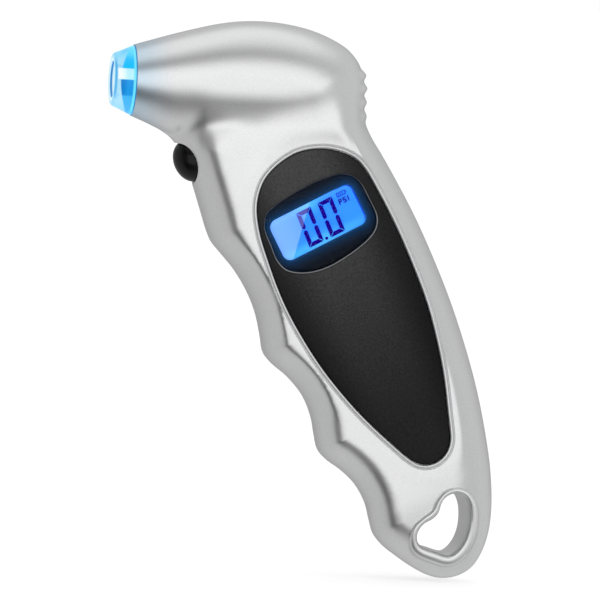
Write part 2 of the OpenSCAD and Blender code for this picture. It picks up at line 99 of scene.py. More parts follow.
# The hole through the tail, and the outer limit of the raised bead round it
TAIL_HOLE = [
    (98, -106.4), (95.6, -107.6), (94.6, -109.2), (94, -111.5), (92.6, -113.4), (90.2, -115),
    (88.9, -116.8), (88.5, -118.6), (89, -120.2), (90.3, -121.2), (94, -122.3), (97.4, -123),
    (99.2, -121.9), (100.9, -119.5), (102, -116), (102.15, -112), (101.5, -109), (100.2, -107.1)]
TAIL_BEAD = [
    (98.3, -104.7), (95, -105.9), (93, -108.6), (92, -111), (89.7, -113.1), (87.3, -115.6),
    (86.5, -118.5), (86.8, -121.8), (88.7, -124.2), (92.9, -125.8), (97.4, -126.8),
    (100.8, -125.5), (103.4, -122.5), (105.2, -118.2), (105.5, -113.3), (104.5, -108.7),
    (101.9, -105.6)]
SCREWS = [(28, 10.4), (60.5, 3.6), (33.5, -37.6), (78.1, -32.4), (56.6, -74.6), (85.5, -102.5)]
RIBS = [(4.6, 0.85), (0.94, 0.88), (-2.8, 0.68), (-6.45, 0.5)]   # grip ribs: z, stand-out

# Sections of the head: (x, value) stations
HEAD_HALF_DEPTH = [
    (5.75, 9.6), (10.5, 10.45), (16, 11.2), (22, 11.8), (28.5, 12.3), (35, 12.7), (41.5, 12.95),
    (48, 13.1), (54, 13.1), (60, 13.0), (66, 12.7)]
HEAD_TOP_REACH = [      # how far the rounding comes in from the back edge
    (5.75, 9.16), (10.5, 10.2), (16, 11.6), (22, 12.9), (28.5, 14.2), (35, 15.1), (41.5, 15.4),
    (48, 15.2), (60, 15.0)]
HEAD_BOTTOM_Z = [
    (5.75, -13.4), (10, -13.7), (14, -13.9), (20, -13.8), (26, -15.0), (38, -15.5), (47, -16.0),
    (58, -14.9)]
HEAD_LOW_REACH = [      # how far the rounding comes up from the bottom
    (5.75, 9.1), (9, 10.4), (11.5, 11.5), (0, 0)]
HEAD_LOW_REACH = [
    (5.75, 9.1), (9, 10.4), (12, 11.5), (14.8, 12.6), (20, 15.0), (26, 15.05), (38, 15.7),
    (47, 16.7), (58, 18.7)]
# Sections of the handle: (x, value) stations
SLOPE_START_Z = [(24, -10), (36, -9.55), (50, -7.05), (62, -5.35)]   # the plateau falls above it
PLATEAU_RISE = [(20, 0.91), (28, 0.26), (36, -0.18), (46, 0.88), (58, 0.95)]
HEAD_HANDLE_FILLET = [(18, 3.05), (26, 2.4), (36, 3.0), (46, 2.0), (56, 2.25)]

NOSE_X = BACK_EDGE[0][0]        # flat front end of the housing
WALL = 2.0
LCD = (56.9, -35.3)             # x z of the display's centre, origin of the handle's directions
HANDLE_LEAN = math.radians(29.5)
LEAN_COS, LEAN_SIN = math.cos(HANDLE_LEAN), math.sin(HANDLE_LEAN)
FACE_HALF_DEPTH = 11.0          # fascia face from the parting plane, at the display's centre
FACE_TILT = math.radians(1.3)
FACE_SLOPE = math.tan(FACE_TILT)
VIEW_X, VIEW_Z, VIEW_ROUND = 12.5, 5.95, 2.3   # visible display: half sizes and corner radius
BUTTON_AT = np.array([20.9, 0.0, -21.65])
BUTTON_LEAN = math.radians(25.9)
BUTTON_R = 5.8

SEAM_STEP = 0.012               # a sharp step is made between loops this far either side of it
SHANK_R = 1.5                   # screw holes through the rear half
HEAD_POCKET_R = 2.7
FRONT_BOSS = (2.7, 2.85)        # radii between which the inner sheet rises round a screw
REAR_BOSS = (2.75, 2.95)
PILOT_R, PILOT_HEIGHT = 1.41, 7.0

GROOVES, GROOVE_TOP, GROOVE_PITCH = 8, -16, 1.5   # finger grooves down the battery cover


# ---------------------------------------------------------------- curves and distances
def between(t, low, high, first, second):
    """Linear blend from first at t = low to second at t = high."""
    return (high - t) / (high - low) * first + (t - low) / (high - low) * second


def spline(points, step, closed=True):
    """A centripetal Catmull-Rom curve through the points, resampled about `step` mm apart."""
    points = np.array(points, float)
    if closed:
        padded = np.vstack([points[-1:], points, points[:2]])
    else:
        padded = np.vstack([2 * points[:1] - points[1:2], points, 2 * points[-1:] - points[-2:-1]])
    spans = []
    for i in range(len(padded) - 3):
        layer = list(padded[i:i + 4])
        knots = [0.0]
        for start, end in zip(layer, layer[1:]):
            knots.append(knots[-1] + np.linalg.norm(end - start) ** 0.5)
        t = np.linspace(knots[1], knots[2], 25)[:-1][:, None]
        for reach in (1, 2):
            layer = [between(t, knots[k], knots[k + reach], layer[k], layer[k + 1])
                     for k in range(len(layer) - 1)]
        spans.append(between(t, knots[1], knots[2], *layer))
    dense = np.vstack(spans + [points[:1] if closed else points[-1:]])
    lengths = np.linalg.norm(np.diff(dense, axis=0), axis=1)
    along = np.concatenate([[0], np.cumsum(lengths)])
    count = max(3, int(round(along[-1] / step)))
    stops = np.linspace(0, along[-1], count + 1)
    line = np.stack([np.interp(stops, along, dense[:, k]) for k in (0, 1)], 1)
    return line[:-1] if closed else line


def ccw(loop):
    """The loop, turned counter-clockwise."""
    x, z = loop[:, 0], loop[:, 1]
    area = (x * np.roll(z, -1) - np.roll(x, -1) * z).sum()
    return loop if area > 0 else loop[::-1].copy()


CHUNK = 4000    # points handled at once, to bound memory


def dist(points, line, closed):
    """Distance from each point to a polyline."""
    start = line if closed else line[:-1]
    end = np.roll(line, -1, 0) if closed else line[1:]
    run = end - start
    run_squared = (run ** 2).sum(1) + 1e-12
    out = np.empty(len(points))
    for k in range(0, len(points), CHUNK):
        rel = points[k:k + CHUNK][:, None, :] - start[None]
        t = np.clip((rel * run).sum(2) / run_squared, 0, 1)
        gap = rel - t[..., None] * run
        out[k:k + CHUNK] = np.sqrt((gap ** 2).sum(2).min(1))
    return out


def inside(points, loop):
    """Which points lie in the loop, by counting crossings."""
    x0, z0 = loop[:, 0], loop[:, 1]
    x1, z1 = np.roll(x0, -1), np.roll(z0, -1)
    out = np.zeros(len(points), bool)
    for k in range(0, len(points), CHUNK):
        x, z = points[k:k + CHUNK, 0:1], points[k:k + CHUNK, 1:2]
        cross = (z0 > z) != (z1 > z)
        cross_x = x0 + (z - z0) * (x1 - x0) / np.where(z1 == z0, 1e-12, z1 - z0)
        out[k:k + CHUNK] = (cross & (x < cross_x)).sum(1) % 2 == 1
    return out


def signed(points, loop):
    """Distance to the loop, negative in it."""
    gap = dist(points, loop, True)
    return np.where(inside(points, loop), -gap, gap)


def left_normals(line, closed):
    """Unit normals to the left of each vertex of a polyline."""
    if closed:
        tangent = np.roll(line, -1, 0) - np.roll(line, 1, 0)
    else:
        tangent = np.gradient(line, axis=0)
    tangent /= np.linalg.norm(tangent, axis=1)[:, None] + 1e-12
    return np.stack([-tangent[:, 1], tangent[:, 0]], 1)


def offset(loop, grow):
    """A counter-clockwise loop grown by `grow`."""
    return loop - left_normals(loop, True) * grow


def stepped(loop, steps):
    """Loops stepping over a rounded border. steps: (growth, height lost there)."""
    return [(offset(loop, grow), drop) for grow, drop in steps]


def soft_min(one, two, reach):
    blend = np.maximum(reach - np.abs(one - two), 0) / reach
    return np.minimum(one, two) - blend * blend * reach / 4


def smooth(x, start, end):
    """Smoothstep from 0 at start to 1 at end."""
    t = np.clip((x - start) / (end - start), 0, 1)
    return t * t * (3 - 2 * t)


def past(value, softness):
    """About twice the amount by which value exceeds zero, with a rounded corner."""
    return value + np.sqrt(value * value + softness)


def at_stations(x, stations):
    """Linear interpolation in a table of (x, value)."""
    return np.interp(x, *zip(*stations))


def curve(x, stations):
    """The same with its corners rounded."""
    return sum(at_stations(x + shift, stations) for shift in (-3, -1.5, 0, 1.5, 3)) / 5


def to_handle(points):
    """x z points as (across, up) along the handle's own directions, from the display's centre."""
    x, z = points[:, 0] - LCD[0], points[:, 1] - LCD[1]
    return LEAN_COS * x + LEAN_SIN * z, -LEAN_SIN * x + LEAN_COS * z


def from_handle(across, up):
    return np.stack([LCD[0] + LEAN_COS * across - LEAN_SIN * up,
                     LCD[1] + LEAN_SIN * across + LEAN_COS * up], -1)


def round_rect(x0, x1, z0, z1, radius, step=0.8):
    """A rounded rectangle given in the handle's directions, as a counter-clockwise x z loop."""
    corners = ((x1 - radius, z1 - radius, 0), (x0 + radius, z1 - radius, 90),
               (x0 + radius, z0 + radius, 180), (x1 - radius, z0 + radius, 270))
    arcs = []
    for x, z, turn in corners:
        for angle in np.radians(np.linspace(turn, turn + 90, 9)):
            arcs.append((x + radius * math.cos(angle), z + radius * math.sin(angle)))
    arcs = np.array(arcs)
    out = []
    for start, end in zip(arcs, np.roll(arcs, -1, 0)):
        count = max(1, int(round(np.linalg.norm(end - start) / step)))
        out += [start + (end - start) * k / count for k in range(count)]
    out = np.array(out)
    return ccw(from_handle(out[:, 0], out[:, 1]))


def circle(x, z, radius, count):
    angle = np.linspace(0, 2 * math.pi, count, endpoint=False)
    return np.stack([x + radius * np.cos(angle), z + radius * np.sin(angle)], 1)


# The open outline from the nozzle's top to its bottom, three times finer at the grip ribs
edge = spline(BACK_EDGE + FINGER_EDGE[1:], 0.8 / 3, False)
at_ribs = (edge[:, 0] > 60) & (edge[:, 1] > -9.5) & (edge[:, 1] < 7.5)
edge = edge[[i for i in range(len(edge)) if i % 3 == 0 or at_ribs[i] or i == len(edge) - 1]]
tail = int(np.argmin(((edge - np.array(BACK_EDGE[-1])) ** 2).sum(1)))
back, finger = edge[:tail + 1], edge[tail:]
# Both sides run on past the nozzle, so its flat end doesn't round the body off
back_far = np.vstack([
    back[0] - 8 * (back[1] - back[0]) / np.linalg.norm(back[1] - back[0]), back])
finger_far = np.vstack([
    finger, finger[-1] + 8 * (finger[-1] - finger[-2]) / np.linalg.norm(finger[-1] - finger[-2])])
fascia_loop = ccw(spline(FASCIA, 0.8))
window_loop = ccw(spline(WINDOW, 0.6))
tail_loop = ccw(spline(TAIL_HOLE, 0.55))
bead_loop = ccw(spline(TAIL_BEAD, 0.6))
# Battery door: the pocket the cover sits in, and the opening inside it
door_loop = round_rect(-15.15, 13.15, -63.65, -11.35, 2.65)
door_hole = round_rect(-14.15, 12.15, -62.65, -12.35, 1.2)


# ---------------------------------------------------------------- housing heights
def face_plane(points):
    """How far the fascia's face stands in front of the parting plane."""
    return FACE_HALF_DEPTH + FACE_SLOPE * to_handle(points)[1]


def crease_at(up):
    """How far in from the finger side the plateau's edge runs."""
    return 5.75 + 1.1 * smooth(up, 2, 14) + 1.6 * smooth(up, 23, 36)


def edge_distances(points):
    """Distances to the finger side and to the back."""
    return dist(points, finger_far, False), dist(points, back_far, False)


def head_height(x, z, margin, to_finger, to_back):
    """Half thickness of the head: a tube that swells from the nozzle and ends in a dome."""
    half_depth = at_stations(x, HEAD_HALF_DEPTH) - margin
    top_reach = at_stations(x, HEAD_TOP_REACH) - margin
    low_reach = curve(x, HEAD_LOW_REACH) - margin
    from_bottom = z - curve(x, HEAD_BOTTOM_Z) - margin
    from_bottom = np.maximum(soft_min(to_finger, from_bottom, 1.5), 0)
    top_round = np.clip(1 - to_back / top_reach, 0, 1)
    low_round = np.clip(1 - from_bottom / low_reach, 0, 1)
    return half_depth * np.sqrt(np.clip(1 - top_round ** 2 - low_round ** 2, 0, 1))


def handle_height(x, z, up, margin, to_finger, to_back):
    """Half thickness of the handle: a plateau with a sloping flank round it."""
    rise = curve(x, PLATEAU_RISE) * smooth(z, -30, -10)
    level = (11.25 + FACE_SLOPE * np.minimum(up, 14) + rise
             - 0.2 * past(z - curve(x, SLOPE_START_Z), 14))
    # the tail thins out
    level = level - 0.055 * past(-(up + 80), 12) - 1.1 * smooth(-up, 84, 104)
    # and the plateau fades away towards the nozzle
    level = np.maximum(level * smooth(x - 1.67 * smooth(z, -15, -9), 8.9, 24), 0)
    level = np.maximum(level - margin, 0)
    top = smooth(z, -18, -8)
    finger_flank = crease_at(up) + 4.5 * top - margin * 0.6
    back_flank = 6.0 + smooth(up, -60, -90) - margin * 0.6
    side = smooth(to_finger - to_back, -3, 3)    # 0 by the finger side, 1 by the back
    flank = finger_flank + (back_flank - finger_flank) * side
    corner = 2.1 + 2.4 * side + top * (1 - side)
    slope = level * (np.minimum(to_finger, to_back) / flank) ** 0.6
    return np.maximum(soft_min(level, slope, corner), 0)


def body(points, margin, to_finger, to_back):
    """Half thickness of the housing, with a margin taken off all round."""
    x, z = points[:, 0], points[:, 1]
    up = to_handle(points)[1]
    to_finger = np.maximum(to_finger - margin, 0)
    to_back = np.maximum(to_back - margin, 0)
    head = head_height(x, z, margin, to_finger, to_back)
    grip = handle_height(x, z, up, margin, to_finger, to_back)
    fillet = curve(x, HEAD_HANDLE_FILLET)
    near = np.maximum(fillet - np.abs(head - grip), 0) / fillet
    height = np.maximum(head, grip)
    return height + fillet / 4 * near * near * smooth(height, 0, 2.5)


def with_bead(points, height):
    """The height with the raised bead round the tail hole."""
    to_hole, to_limit = np.abs(signed(points, tail_loop)), signed(points, bead_loop)
    across = np.where(to_limit < 0, to_hole / (to_hole - to_limit + 1e-9), 1)
    across = np.clip(across, 0, 1)
    ring = (4 * across * (1 - across)) ** 0.4
    level = at_stations(points[:, 1], ((-126, 7.6), (-104, 10.0)))
    fill = 0.85 * np.clip(level - height, 0, 4) * np.minimum(ring, 0.85) / 0.85
    return height + 1.3 * ring + fill


def rib_push(x, y, z):
    """How far the grip ribs push the back of the head out along +X."""
    wave = 0.12 * smooth(z, -9, -7) * (1 - smooth(z, 4.5, 6.5))
    for rib_z, stand_out in RIBS:
        t = np.clip(1 - np.abs(z - rib_z) / 1.9, 0, 1)
        wave = wave + stand_out * t * t * (3 - 2 * t)
    return wave * (1 - smooth(np.abs(y), 2.6, 6.2)) * smooth(x, 63.5, 66.8)


def screw_radii(points):
    """Distances of the points from each screw's axis in turn."""
    return [np.hypot(points[:, 0] - x, points[:, 1] - z) for x, z in SCREWS]


def front_height(points):
    """Outer sheet of the front half: drawn level round the fascia, with a lip and a groove."""
    lip_width, groove_width = 0.84, 0.42
    height = body(points, 0, *edge_distances(points))
    face = face_plane(points)
    gap = signed(points, fascia_loop)
    near = 1 - smooth(gap, 1.0, 7.0)
    level = np.maximum(height, np.minimum(face + 0.25, height + 0.6))
    height = height + (np.minimum(level, face + 0.4) - height) * near
    height = with_bead(points, height)
    lip = face + 0.4 - 0.3 * (np.abs(gap - 0.42) / 0.42) ** 2.4
    across = np.clip((gap - lip_width) / groove_width, 0, 1)
    groove = np.minimum(face + 0.22, height) - 0.5 * np.sin(across * math.pi)
    height = np.where(gap < 1.26, np.where(gap < lip_width, lip, groove), height)
    return np.where(gap < 0, face - 1.72, height)


def rear_height(points):
    """Outer sheet of the rear half, with the door's pocket and the screw heads' pockets."""
    height = with_bead(points, body(points, 0, *edge_distances(points)))
    gap = signed(points, door_loop)
    height = height - 0.16 * np.clip(1 - gap / 0.34, 0, 1) ** 2
    height = np.where(gap < 0, 7.7, height)
    for radius in screw_radii(points):
        height = height - 0.2 * np.clip(1 - (radius - HEAD_POCKET_R) / 0.35, 0, 1) ** 2
        height = np.where(radius < HEAD_POCKET_R, 5.0, height)
    return height


def inner_height(points, recess, reach, ceiling, boss, pilot):
    """Inner sheet of a half: under the recess it keeps below the ceiling, and it drops to the
    parting plane round the tail hole, round the screws and along the rim."""
    to_finger, to_back = edge_distances(points)
    height = body(points, WALL, to_finger, to_back)
    height = np.where(signed(points, recess) < reach, np.minimum(height, ceiling), height)
    height *= smooth(signed(points, tail_loop), 1.6, 2.1)
    for radius in screw_radii(points):
        height = height * smooth(radius, *boss)
        if pilot:
            height = np.where(radius < PILOT_R, PILOT_HEIGHT, height)
    return np.where(np.minimum(to_finger, to_back) < WALL + 1e-3, 0, height)


def inner_front(points):
    return inner_height(points, fascia_loop, reach=1.6, ceiling=face_plane(points) - 3.05,
                        boss=FRONT_BOSS, pilot=True)


def inner_rear(points):
    return inner_height(points, door_loop, reach=1.4, ceiling=5.7, boss=REAR_BOSS, pilot=False)


# ---------------------------------------------------------------- mesh tools
def new_object(name, verts, faces):
    """An object from vertices in mm."""
    mesh = bpy.data.meshes.new(name)
    mesh.from_pydata([tuple(c * MM for c in v) for v in verts], [], [tuple(f) for f in faces])
    mesh.validate()
    mesh.update()
    obj = bpy.data.objects.new(name, mesh)
    SCENE.collection.objects.link(obj)
    return obj


def face_outwards(obj):
    work = bmesh.new()
    work.from_mesh(obj.data)
    bmesh.ops.recalc_face_normals(work, faces=work.faces)
    work.to_mesh(obj.data)
    work.free()
    return obj


def soften(obj, angle=38.0):
    """Smooth shading, with hard edges where faces meet steeper than angle."""
    obj.data.shade_smooth()
    obj.data.set_sharp_from_angle(angle=math.radians(angle))


def add_uncrowded(points, candidates, gap):
    """Adds the candidates that are further than gap from every point so far."""
    tree = kdtree.KDTree(len(points))
    for i, p in enumerate(points):
        tree.insert((p[0], p[1], 0), i)
    tree.balance()
    points += [(p[0], p[1]) for p in candidates if tree.find((p[0], p[1], 0))[2] > gap]


def triangulate(lines, loops, extra, outer, holes, step):
    """Points and triangles of the area in `outer` and out of `holes`.

    Open lines and closed loops are kept as edges. extra: (points, gap) groups, kept where they
    aren't crowded. A hexagonal grid fills the rest.
    """
    points, edges = [], []
    for line, closed in [(line, False) for line in lines] + [(loop, True) for loop in loops]:
        first, count = len(points), len(line)
        points += [tuple(p) for p in line]
        edges += [(first + i, first + (i + 1) % count)
                  for i in range(count if closed else count - 1)]
    for group, gap in extra:
        add_uncrowded(points, group, gap)
    low, high = outer.min(0), outer.max(0)
    rows = np.arange(low[1], high[1], step * 0.866)
    grid = np.array([(x + (step / 2 if j % 2 else 0), z) for j, z in enumerate(rows)
                     for x in np.arange(low[0], high[0], step)])
    grid = grid[inside(grid, outer)]
    for hole in holes:
        grid = grid[~inside(grid, hole)]
    add_uncrowded(points, grid, step * 0.62)
    verts, _, faces, *_ = delaunay_2d_cdt([Vector(p) for p in points], edges, [], 0, 1e-5)
    verts = np.array([(v[0], v[1]) for v in verts])
    faces = np.array([f for f in faces if len(f) == 3], int)
    middles = verts[faces].mean(1)
    wanted = inside(middles, outer)
    for hole in holes:
        wanted &= ~inside(middles, hole)
    faces = faces[wanted]
    one, two, three = (verts[faces[:, k]] for k in range(3))
    area = ((two[:, 0] - one[:, 0]) * (three[:, 1] - one[:, 1])
            - (two[:, 1] - one[:, 1]) * (three[:, 0] - one[:, 0]))
    faces[area < 0] = faces[area < 0][:, ::-1]
    return verts, faces[np.abs(area) > 1e-7]


def border(triangles):
    """The directed edges that only one triangle uses."""
    edges = {}
    for tri in triangles.tolist():
        for a, b in zip(tri, tri[1:] + tri[:1]):
            if (b, a) in edges:
                del edges[(b, a)]
            else:
                edges[(a, b)] = True
    return list(edges)


def close_plate(name, points, triangles, top, low):
    """A solid between two sheets over the same triangles, at y = top and y = low."""
    count = len(points)
    verts = [(p[0], y, p[1]) for sheet in (top, low) for p, y in zip(points, sheet)]
    faces_back = top[0] > low[0]
    turn = -1 if faces_back else 1
    faces = [tuple(f[::turn]) for f in triangles.tolist()]
    faces += [tuple(f[::-turn]) for f in (triangles + count).tolist()]
    for a, b in border(triangles):
        faces.append((a, b, b + count, a + count) if faces_back
                     else (b, a, a + count, b + count))
    return new_object(name, verts, faces)


def edge_drop(points, steps):
    """Height lost near the first of the stepped loops."""
    first = steps[0][0]
    gaps = [0.0] + [dist(loop[:1], first, True)[0] for loop, _ in steps[1:]]
    return np.interp(dist(points, first, True), gaps, [drop for _, drop in steps])


def plate(name, outline, top_depth, low_depth, hole=None, crown=None):
    """A plate parallel to the fascia's face. outline, hole: stepped loops; crown: added height."""
    edges = [outline] + ([hole] if hole else [])
    loops = [loop for steps in edges for loop, _ in steps]
    holes = [hole[0][0]] if hole else []
    points, triangles = triangulate([], loops, [], outline[0][0], holes, 1.1)
    drop = edge_drop(points, outline)
    if hole:
        drop = np.maximum(drop, edge_drop(points, hole))
    face = face_plane(points)
    height = face - top_depth + (crown(points) if crown else 0)
    return close_plate(name, points, triangles, -height + drop, -(face - low_depth))


def boolean(obj, cutter, operation):
    """Applies the operation and removes the cutter."""
    modifier = obj.modifiers.new(operation, "BOOLEAN")
    modifier.operation = operation
    modifier.object = cutter
    try:
        modifier.solver = "MANIFOLD"
    except TypeError:   # a Blender without that solver
        modifier.solver = "EXACT"
    bpy.context.view_layer.objects.active = obj
    with bpy.context.temp_override(object=obj, active_object=obj, selected_objects=[obj]):
        bpy.ops.object.modifier_apply(modifier=modifier.name)
    bpy.data.objects.remove(cutter)


def lathe(name, profile, segments, place):
    """A turned solid: profile is (axial, radius) points; place maps (axial, across, across) to
    x y z."""
    verts, faces, rings = [], [], []
    for axial, radius in profile:
        if radius < 1e-6:
            rings.append([len(verts)])
            verts.append(place(axial, 0, 0))
        else:
            rings.append(list(range(len(verts), len(verts) + segments)))
            for k in range(segments):
                angle = 2 * math.pi * k / segments
                verts.append(place(axial, radius * math.cos(angle), radius * math.sin(angle)))
    pairs = list(zip(rings, rings[1:]))
    if len(rings[0]) > 1 and len(rings[-1]) > 1:
        pairs.append((rings[-1], rings[0]))
    for one, two in pairs:
        for k in range(segments):
            j = (k + 1) % segments
            if len(one) == 1 and len(two) == 1:
                continue
            if len(one) == 1:
                faces.append((one[0], two[j], two[k]))
            elif len(two) == 1:
                faces.append((one[k], one[j], two[0]))
            else:
                faces.append((one[k], one[j], two[j], two[k]))
    return face_outwards(new_object(name, verts, faces))


def along_x(axial, y, z):
    return (axial, y, z)


def along_button(axial, side, up):
    """From the button's own directions; axial runs from its dome into the housing."""
    cos, sin = math.cos(BUTTON_LEAN), math.sin(BUTTON_LEAN)
    return (BUTTON_AT[0] + axial * cos - up * sin, BUTTON_AT[1] + side,
            BUTTON_AT[2] + axial * sin + up * cos)


def from_display(across, depth, up):
    """From the display's own directions to x y z."""
    cos, sin = math.cos(FACE_TILT), math.sin(FACE_TILT)
    y, z = depth * cos - up * sin, depth * sin + up * cos
    return (across * LEAN_COS - z * LEAN_SIN + LCD[0], y - FACE_HALF_DEPTH,
            across * LEAN_SIN + z * LEAN_COS + LCD[1])


# ---------------------------------------------------------------- housing halves
def bead_points():
    """Points between the tail hole and its bead's limit, crowding towards both."""
    out = []
    for p in tail_loop:
        limit = bead_loop[np.argmin(((bead_loop - p) ** 2).sum(1))]
        for part in (0.06, 0.14, 0.24, 0.36, 0.5, 0.64, 0.76, 0.86, 0.94):
            out.append(p + (limit - p) * part)
    for p in bead_loop:
        hole = tail_loop[np.argmin(((tail_loop - p) ** 2).sum(1))]
        for part in (0.94, 0.86, 0.76, 0.64, 0.5, 0.36, 0.24):
            out.append(hole + (p - hole) * part)
    return np.array(out)


def rib_points():
    """A fine grid over the grip ribs."""
    x, z = np.meshgrid(np.arange(61.5, 70, 0.34), np.arange(-9.4, 7.4, 0.3))
    grid = np.stack([x.ravel(), z.ravel()], 1)
    return grid[inside(grid, edge)]


def rim_lines():
    """The outline and its insets, crowding to the edge, and the straight line at the nozzle."""
    inward = left_normals(edge, False)      # the body lies to the right of the outline
    inward[0], inward[-1] = (0, 1), (0, -1)
    rims = []
    for inset in (0.0, 0.035, 0.12, 0.26, 0.46, 0.72, 1.04, 1.42, WALL):
        line = edge - inward * inset
        line[0] = (NOSE_X, edge[0][1] - inset)
        line[-1] = (NOSE_X, edge[-1][1] + inset)
        rims.append(line)
    nose_z = np.linspace(edge[-1][1] + WALL, edge[0][1] - WALL, 22)[1:-1]
    all_z = sorted([r[0][1] for r in rims] + [r[-1][1] for r in rims] + list(nose_z))
    return rims + [np.array([(NOSE_X, z) for z in all_z])]


def crease_points(holes):
    """Points along the plateau's edge on the finger side."""
    rows = []
    for shift in np.arange(-2.0, 2.6, 0.5):
        target = crease_at(to_handle(finger)[1]) + shift
        line = finger - left_normals(finger, False) * target[:, None]
        row = line[np.abs(dist(line, finger_far, False) - target) < 0.06]
        rows.append(row[row[:, 1] < -9])
    points = np.vstack(rows)
    points = points[inside(points, edge)]
    for hole in holes:
        points = points[~inside(points, hole)]
    return points


def shell(name, top_height, low_height, side, top_loops, low_loops, holes):
    """A housing half as a closed solid: outer and inner sheets joined along every border.

    side is -1 for the front half and 1 for the rear one.
    """
    lines = rim_lines()
    extra = [(bead_points(), 0.12), (rib_points(), 0.16), (crease_points(holes), 0.33)]
    top_points, top_faces = triangulate(lines, top_loops, extra, edge, holes, 0.62)
    low_points, low_faces = triangulate(lines, low_loops, [], edge, holes, 1.7)
    top = np.maximum(top_height(top_points), 0.02)
    low = np.maximum(low_height(low_points), 0)
    top[dist(top_points, edge, False) < 1e-4] = 0
    low[dist(low_points, edge, False) < 1e-4] = 0
    push = rib_push(top_points[:, 0], side * top, top_points[:, 1])
    verts = [(p[0] + q, side * h, p[1]) for p, h, q in zip(top_points, top, push)]

    def key(point):
        return (round(point[0], 4), round(point[1], 4))

    # the sheets share a vertex where they meet
    top_at = {key(p): i for i, p in enumerate(top_points)}
    index = []
    for p, h in zip(low_points, low):
        i = top_at.get(key(p))
        if i is not None and abs(top[i] - h) < 1e-6:
            index.append(i)
        else:
            index.append(len(verts))
            verts.append((p[0], side * h, p[1]))
    index = np.array(index)
    turn = -side
    faces = [tuple(f[::turn]) for f in top_faces]
    faces += [tuple(index[f][::-turn]) for f in low_faces]
    low_at = {key(p): index[i] for i, p in enumerate(low_points)}
    for a, b in border(top_faces):
        key_a, key_b = key(top_points[a]), key(top_points[b])
        if key_a not in low_at or key_b not in low_at:
            continue    # nothing below to join to
        corners = [int(i) for i in (b, a, low_at[key_a], low_at[key_b])]
        corners = [c for k, c in enumerate(corners) if c not in corners[:k]]
        if len(corners) >= 3:
            faces.append(tuple(corners[::turn]))
    return new_object(name, verts, faces)


def front_housing():
    window_hole = offset(window_loop, 0.15)
    rings = (SEAM_STEP, 0.12, 0.28, 0.42, 0.56, 0.72, 0.83, 0.9, 0.98, 1.06, 1.14, 1.22, 1.3,
             -SEAM_STEP)
    top_loops = [offset(fascia_loop, ring) for ring in rings]
    top_loops += [window_hole, tail_loop, bead_loop, offset(bead_loop, 0.25)]
    low_loops = [window_hole, tail_loop]
    low_loops += [circle(x, z, r, 20) for x, z in SCREWS for r in (1.4, 1.43, *FRONT_BOSS)]
    low_loops += [offset(fascia_loop, ring) for ring in (1.6, 1.63)]
    return shell("front_housing", front_height, inner_front, -1, top_loops, low_loops,
                 [window_hole, tail_loop])


def rear_housing():
    top_loops = [door_hole, tail_loop]
    top_loops += [offset(door_loop, ring) for ring in (-SEAM_STEP, SEAM_STEP, 0.1, 0.2, 0.34)]
    top_loops += [bead_loop, offset(bead_loop, 0.25)]
    low_loops = [door_hole, tail_loop] + [offset(door_loop, ring) for ring in (1.39, 1.42)]
    shanks = []
    for x, z in SCREWS:
        shank = circle(x, z, SHANK_R, 28)
        shanks.append(shank)
        top_loops += [shank] + [circle(x, z, r, 36) for r in (2.688, 2.712, 2.8, 2.9, 3.05)]
        low_loops += [shank] + [circle(x, z, r, 24) for r in REAR_BOSS]
    return shell("rear_housing", rear_height, inner_rear, 1, top_loops, low_loops,
                 [door_hole, tail_loop] + shanks)


front = front_housing()
rear = rear_housing()
for half in (front, rear):
    hole_r = BUTTON_R + 0.3
    button_hole = lathe("cutter", [(-8, 0), (-8, hole_r), (5.0, hole_r), (5.0, 0)], 72,
                        along_button)
    boolean(half, button_hole, "DIFFERENCE")
    soften(half)


# ---------------------------------------------------------------- fascia and display
def fascia_crown(points):
    """The fascia swells over the first 9 mm in from its edge."""
    reach = 9
    gap = np.minimum(dist(points, fascia_loop, True), reach)
    return 0.02 + 0.42 * (1 - (1 - gap / reach) ** 2)


fascia_edge = ((-0.14, 0.34), (-0.18, 0.2), (-0.26, 0.1), (-0.4, 0.03), (-0.6, 0.0))
opening_edge = ((0.0, 0.42), (0.1, 0.3), (0.22, 0.17), (0.4, 0.06), (0.62, 0.0))
fascia = plate("fascia_panel", stepped(fascia_loop, fascia_edge), top_depth=0.25, low_depth=1.6,
               hole=stepped(window_loop, opening_edge), crown=fascia_crown)
soften(fascia, 50)

# a clear panel over a printed border, with the lit display behind
pane_steps = ((0, 0.25), (-0.15, 0.1), (-0.35, 0.0))
pane = plate("display_window", stepped(offset(window_loop, -0.12), pane_steps),
             top_depth=0.95, low_depth=2.3)
soften(pane, 30)
view_loop = round_rect(-VIEW_X, VIEW_X, -VIEW_Z, VIEW_Z, VIEW_ROUND, 0.5)
print_border = plate("display_border", stepped(window_loop, ((-0.1, 0.0),)),
                     top_depth=2.42, low_depth=2.95, hole=[(view_loop, 0.0)])
soften(print_border, 30)
glass_loop = round_rect(-14.4, 14.4, -7.9, 7.9, 0.6)
glass = plate("display_glass", stepped(glass_loop, ((0, 0.12), (-0.12, 0.0))),
              top_depth=3.72, low_depth=4.9)
soften(glass, 30)


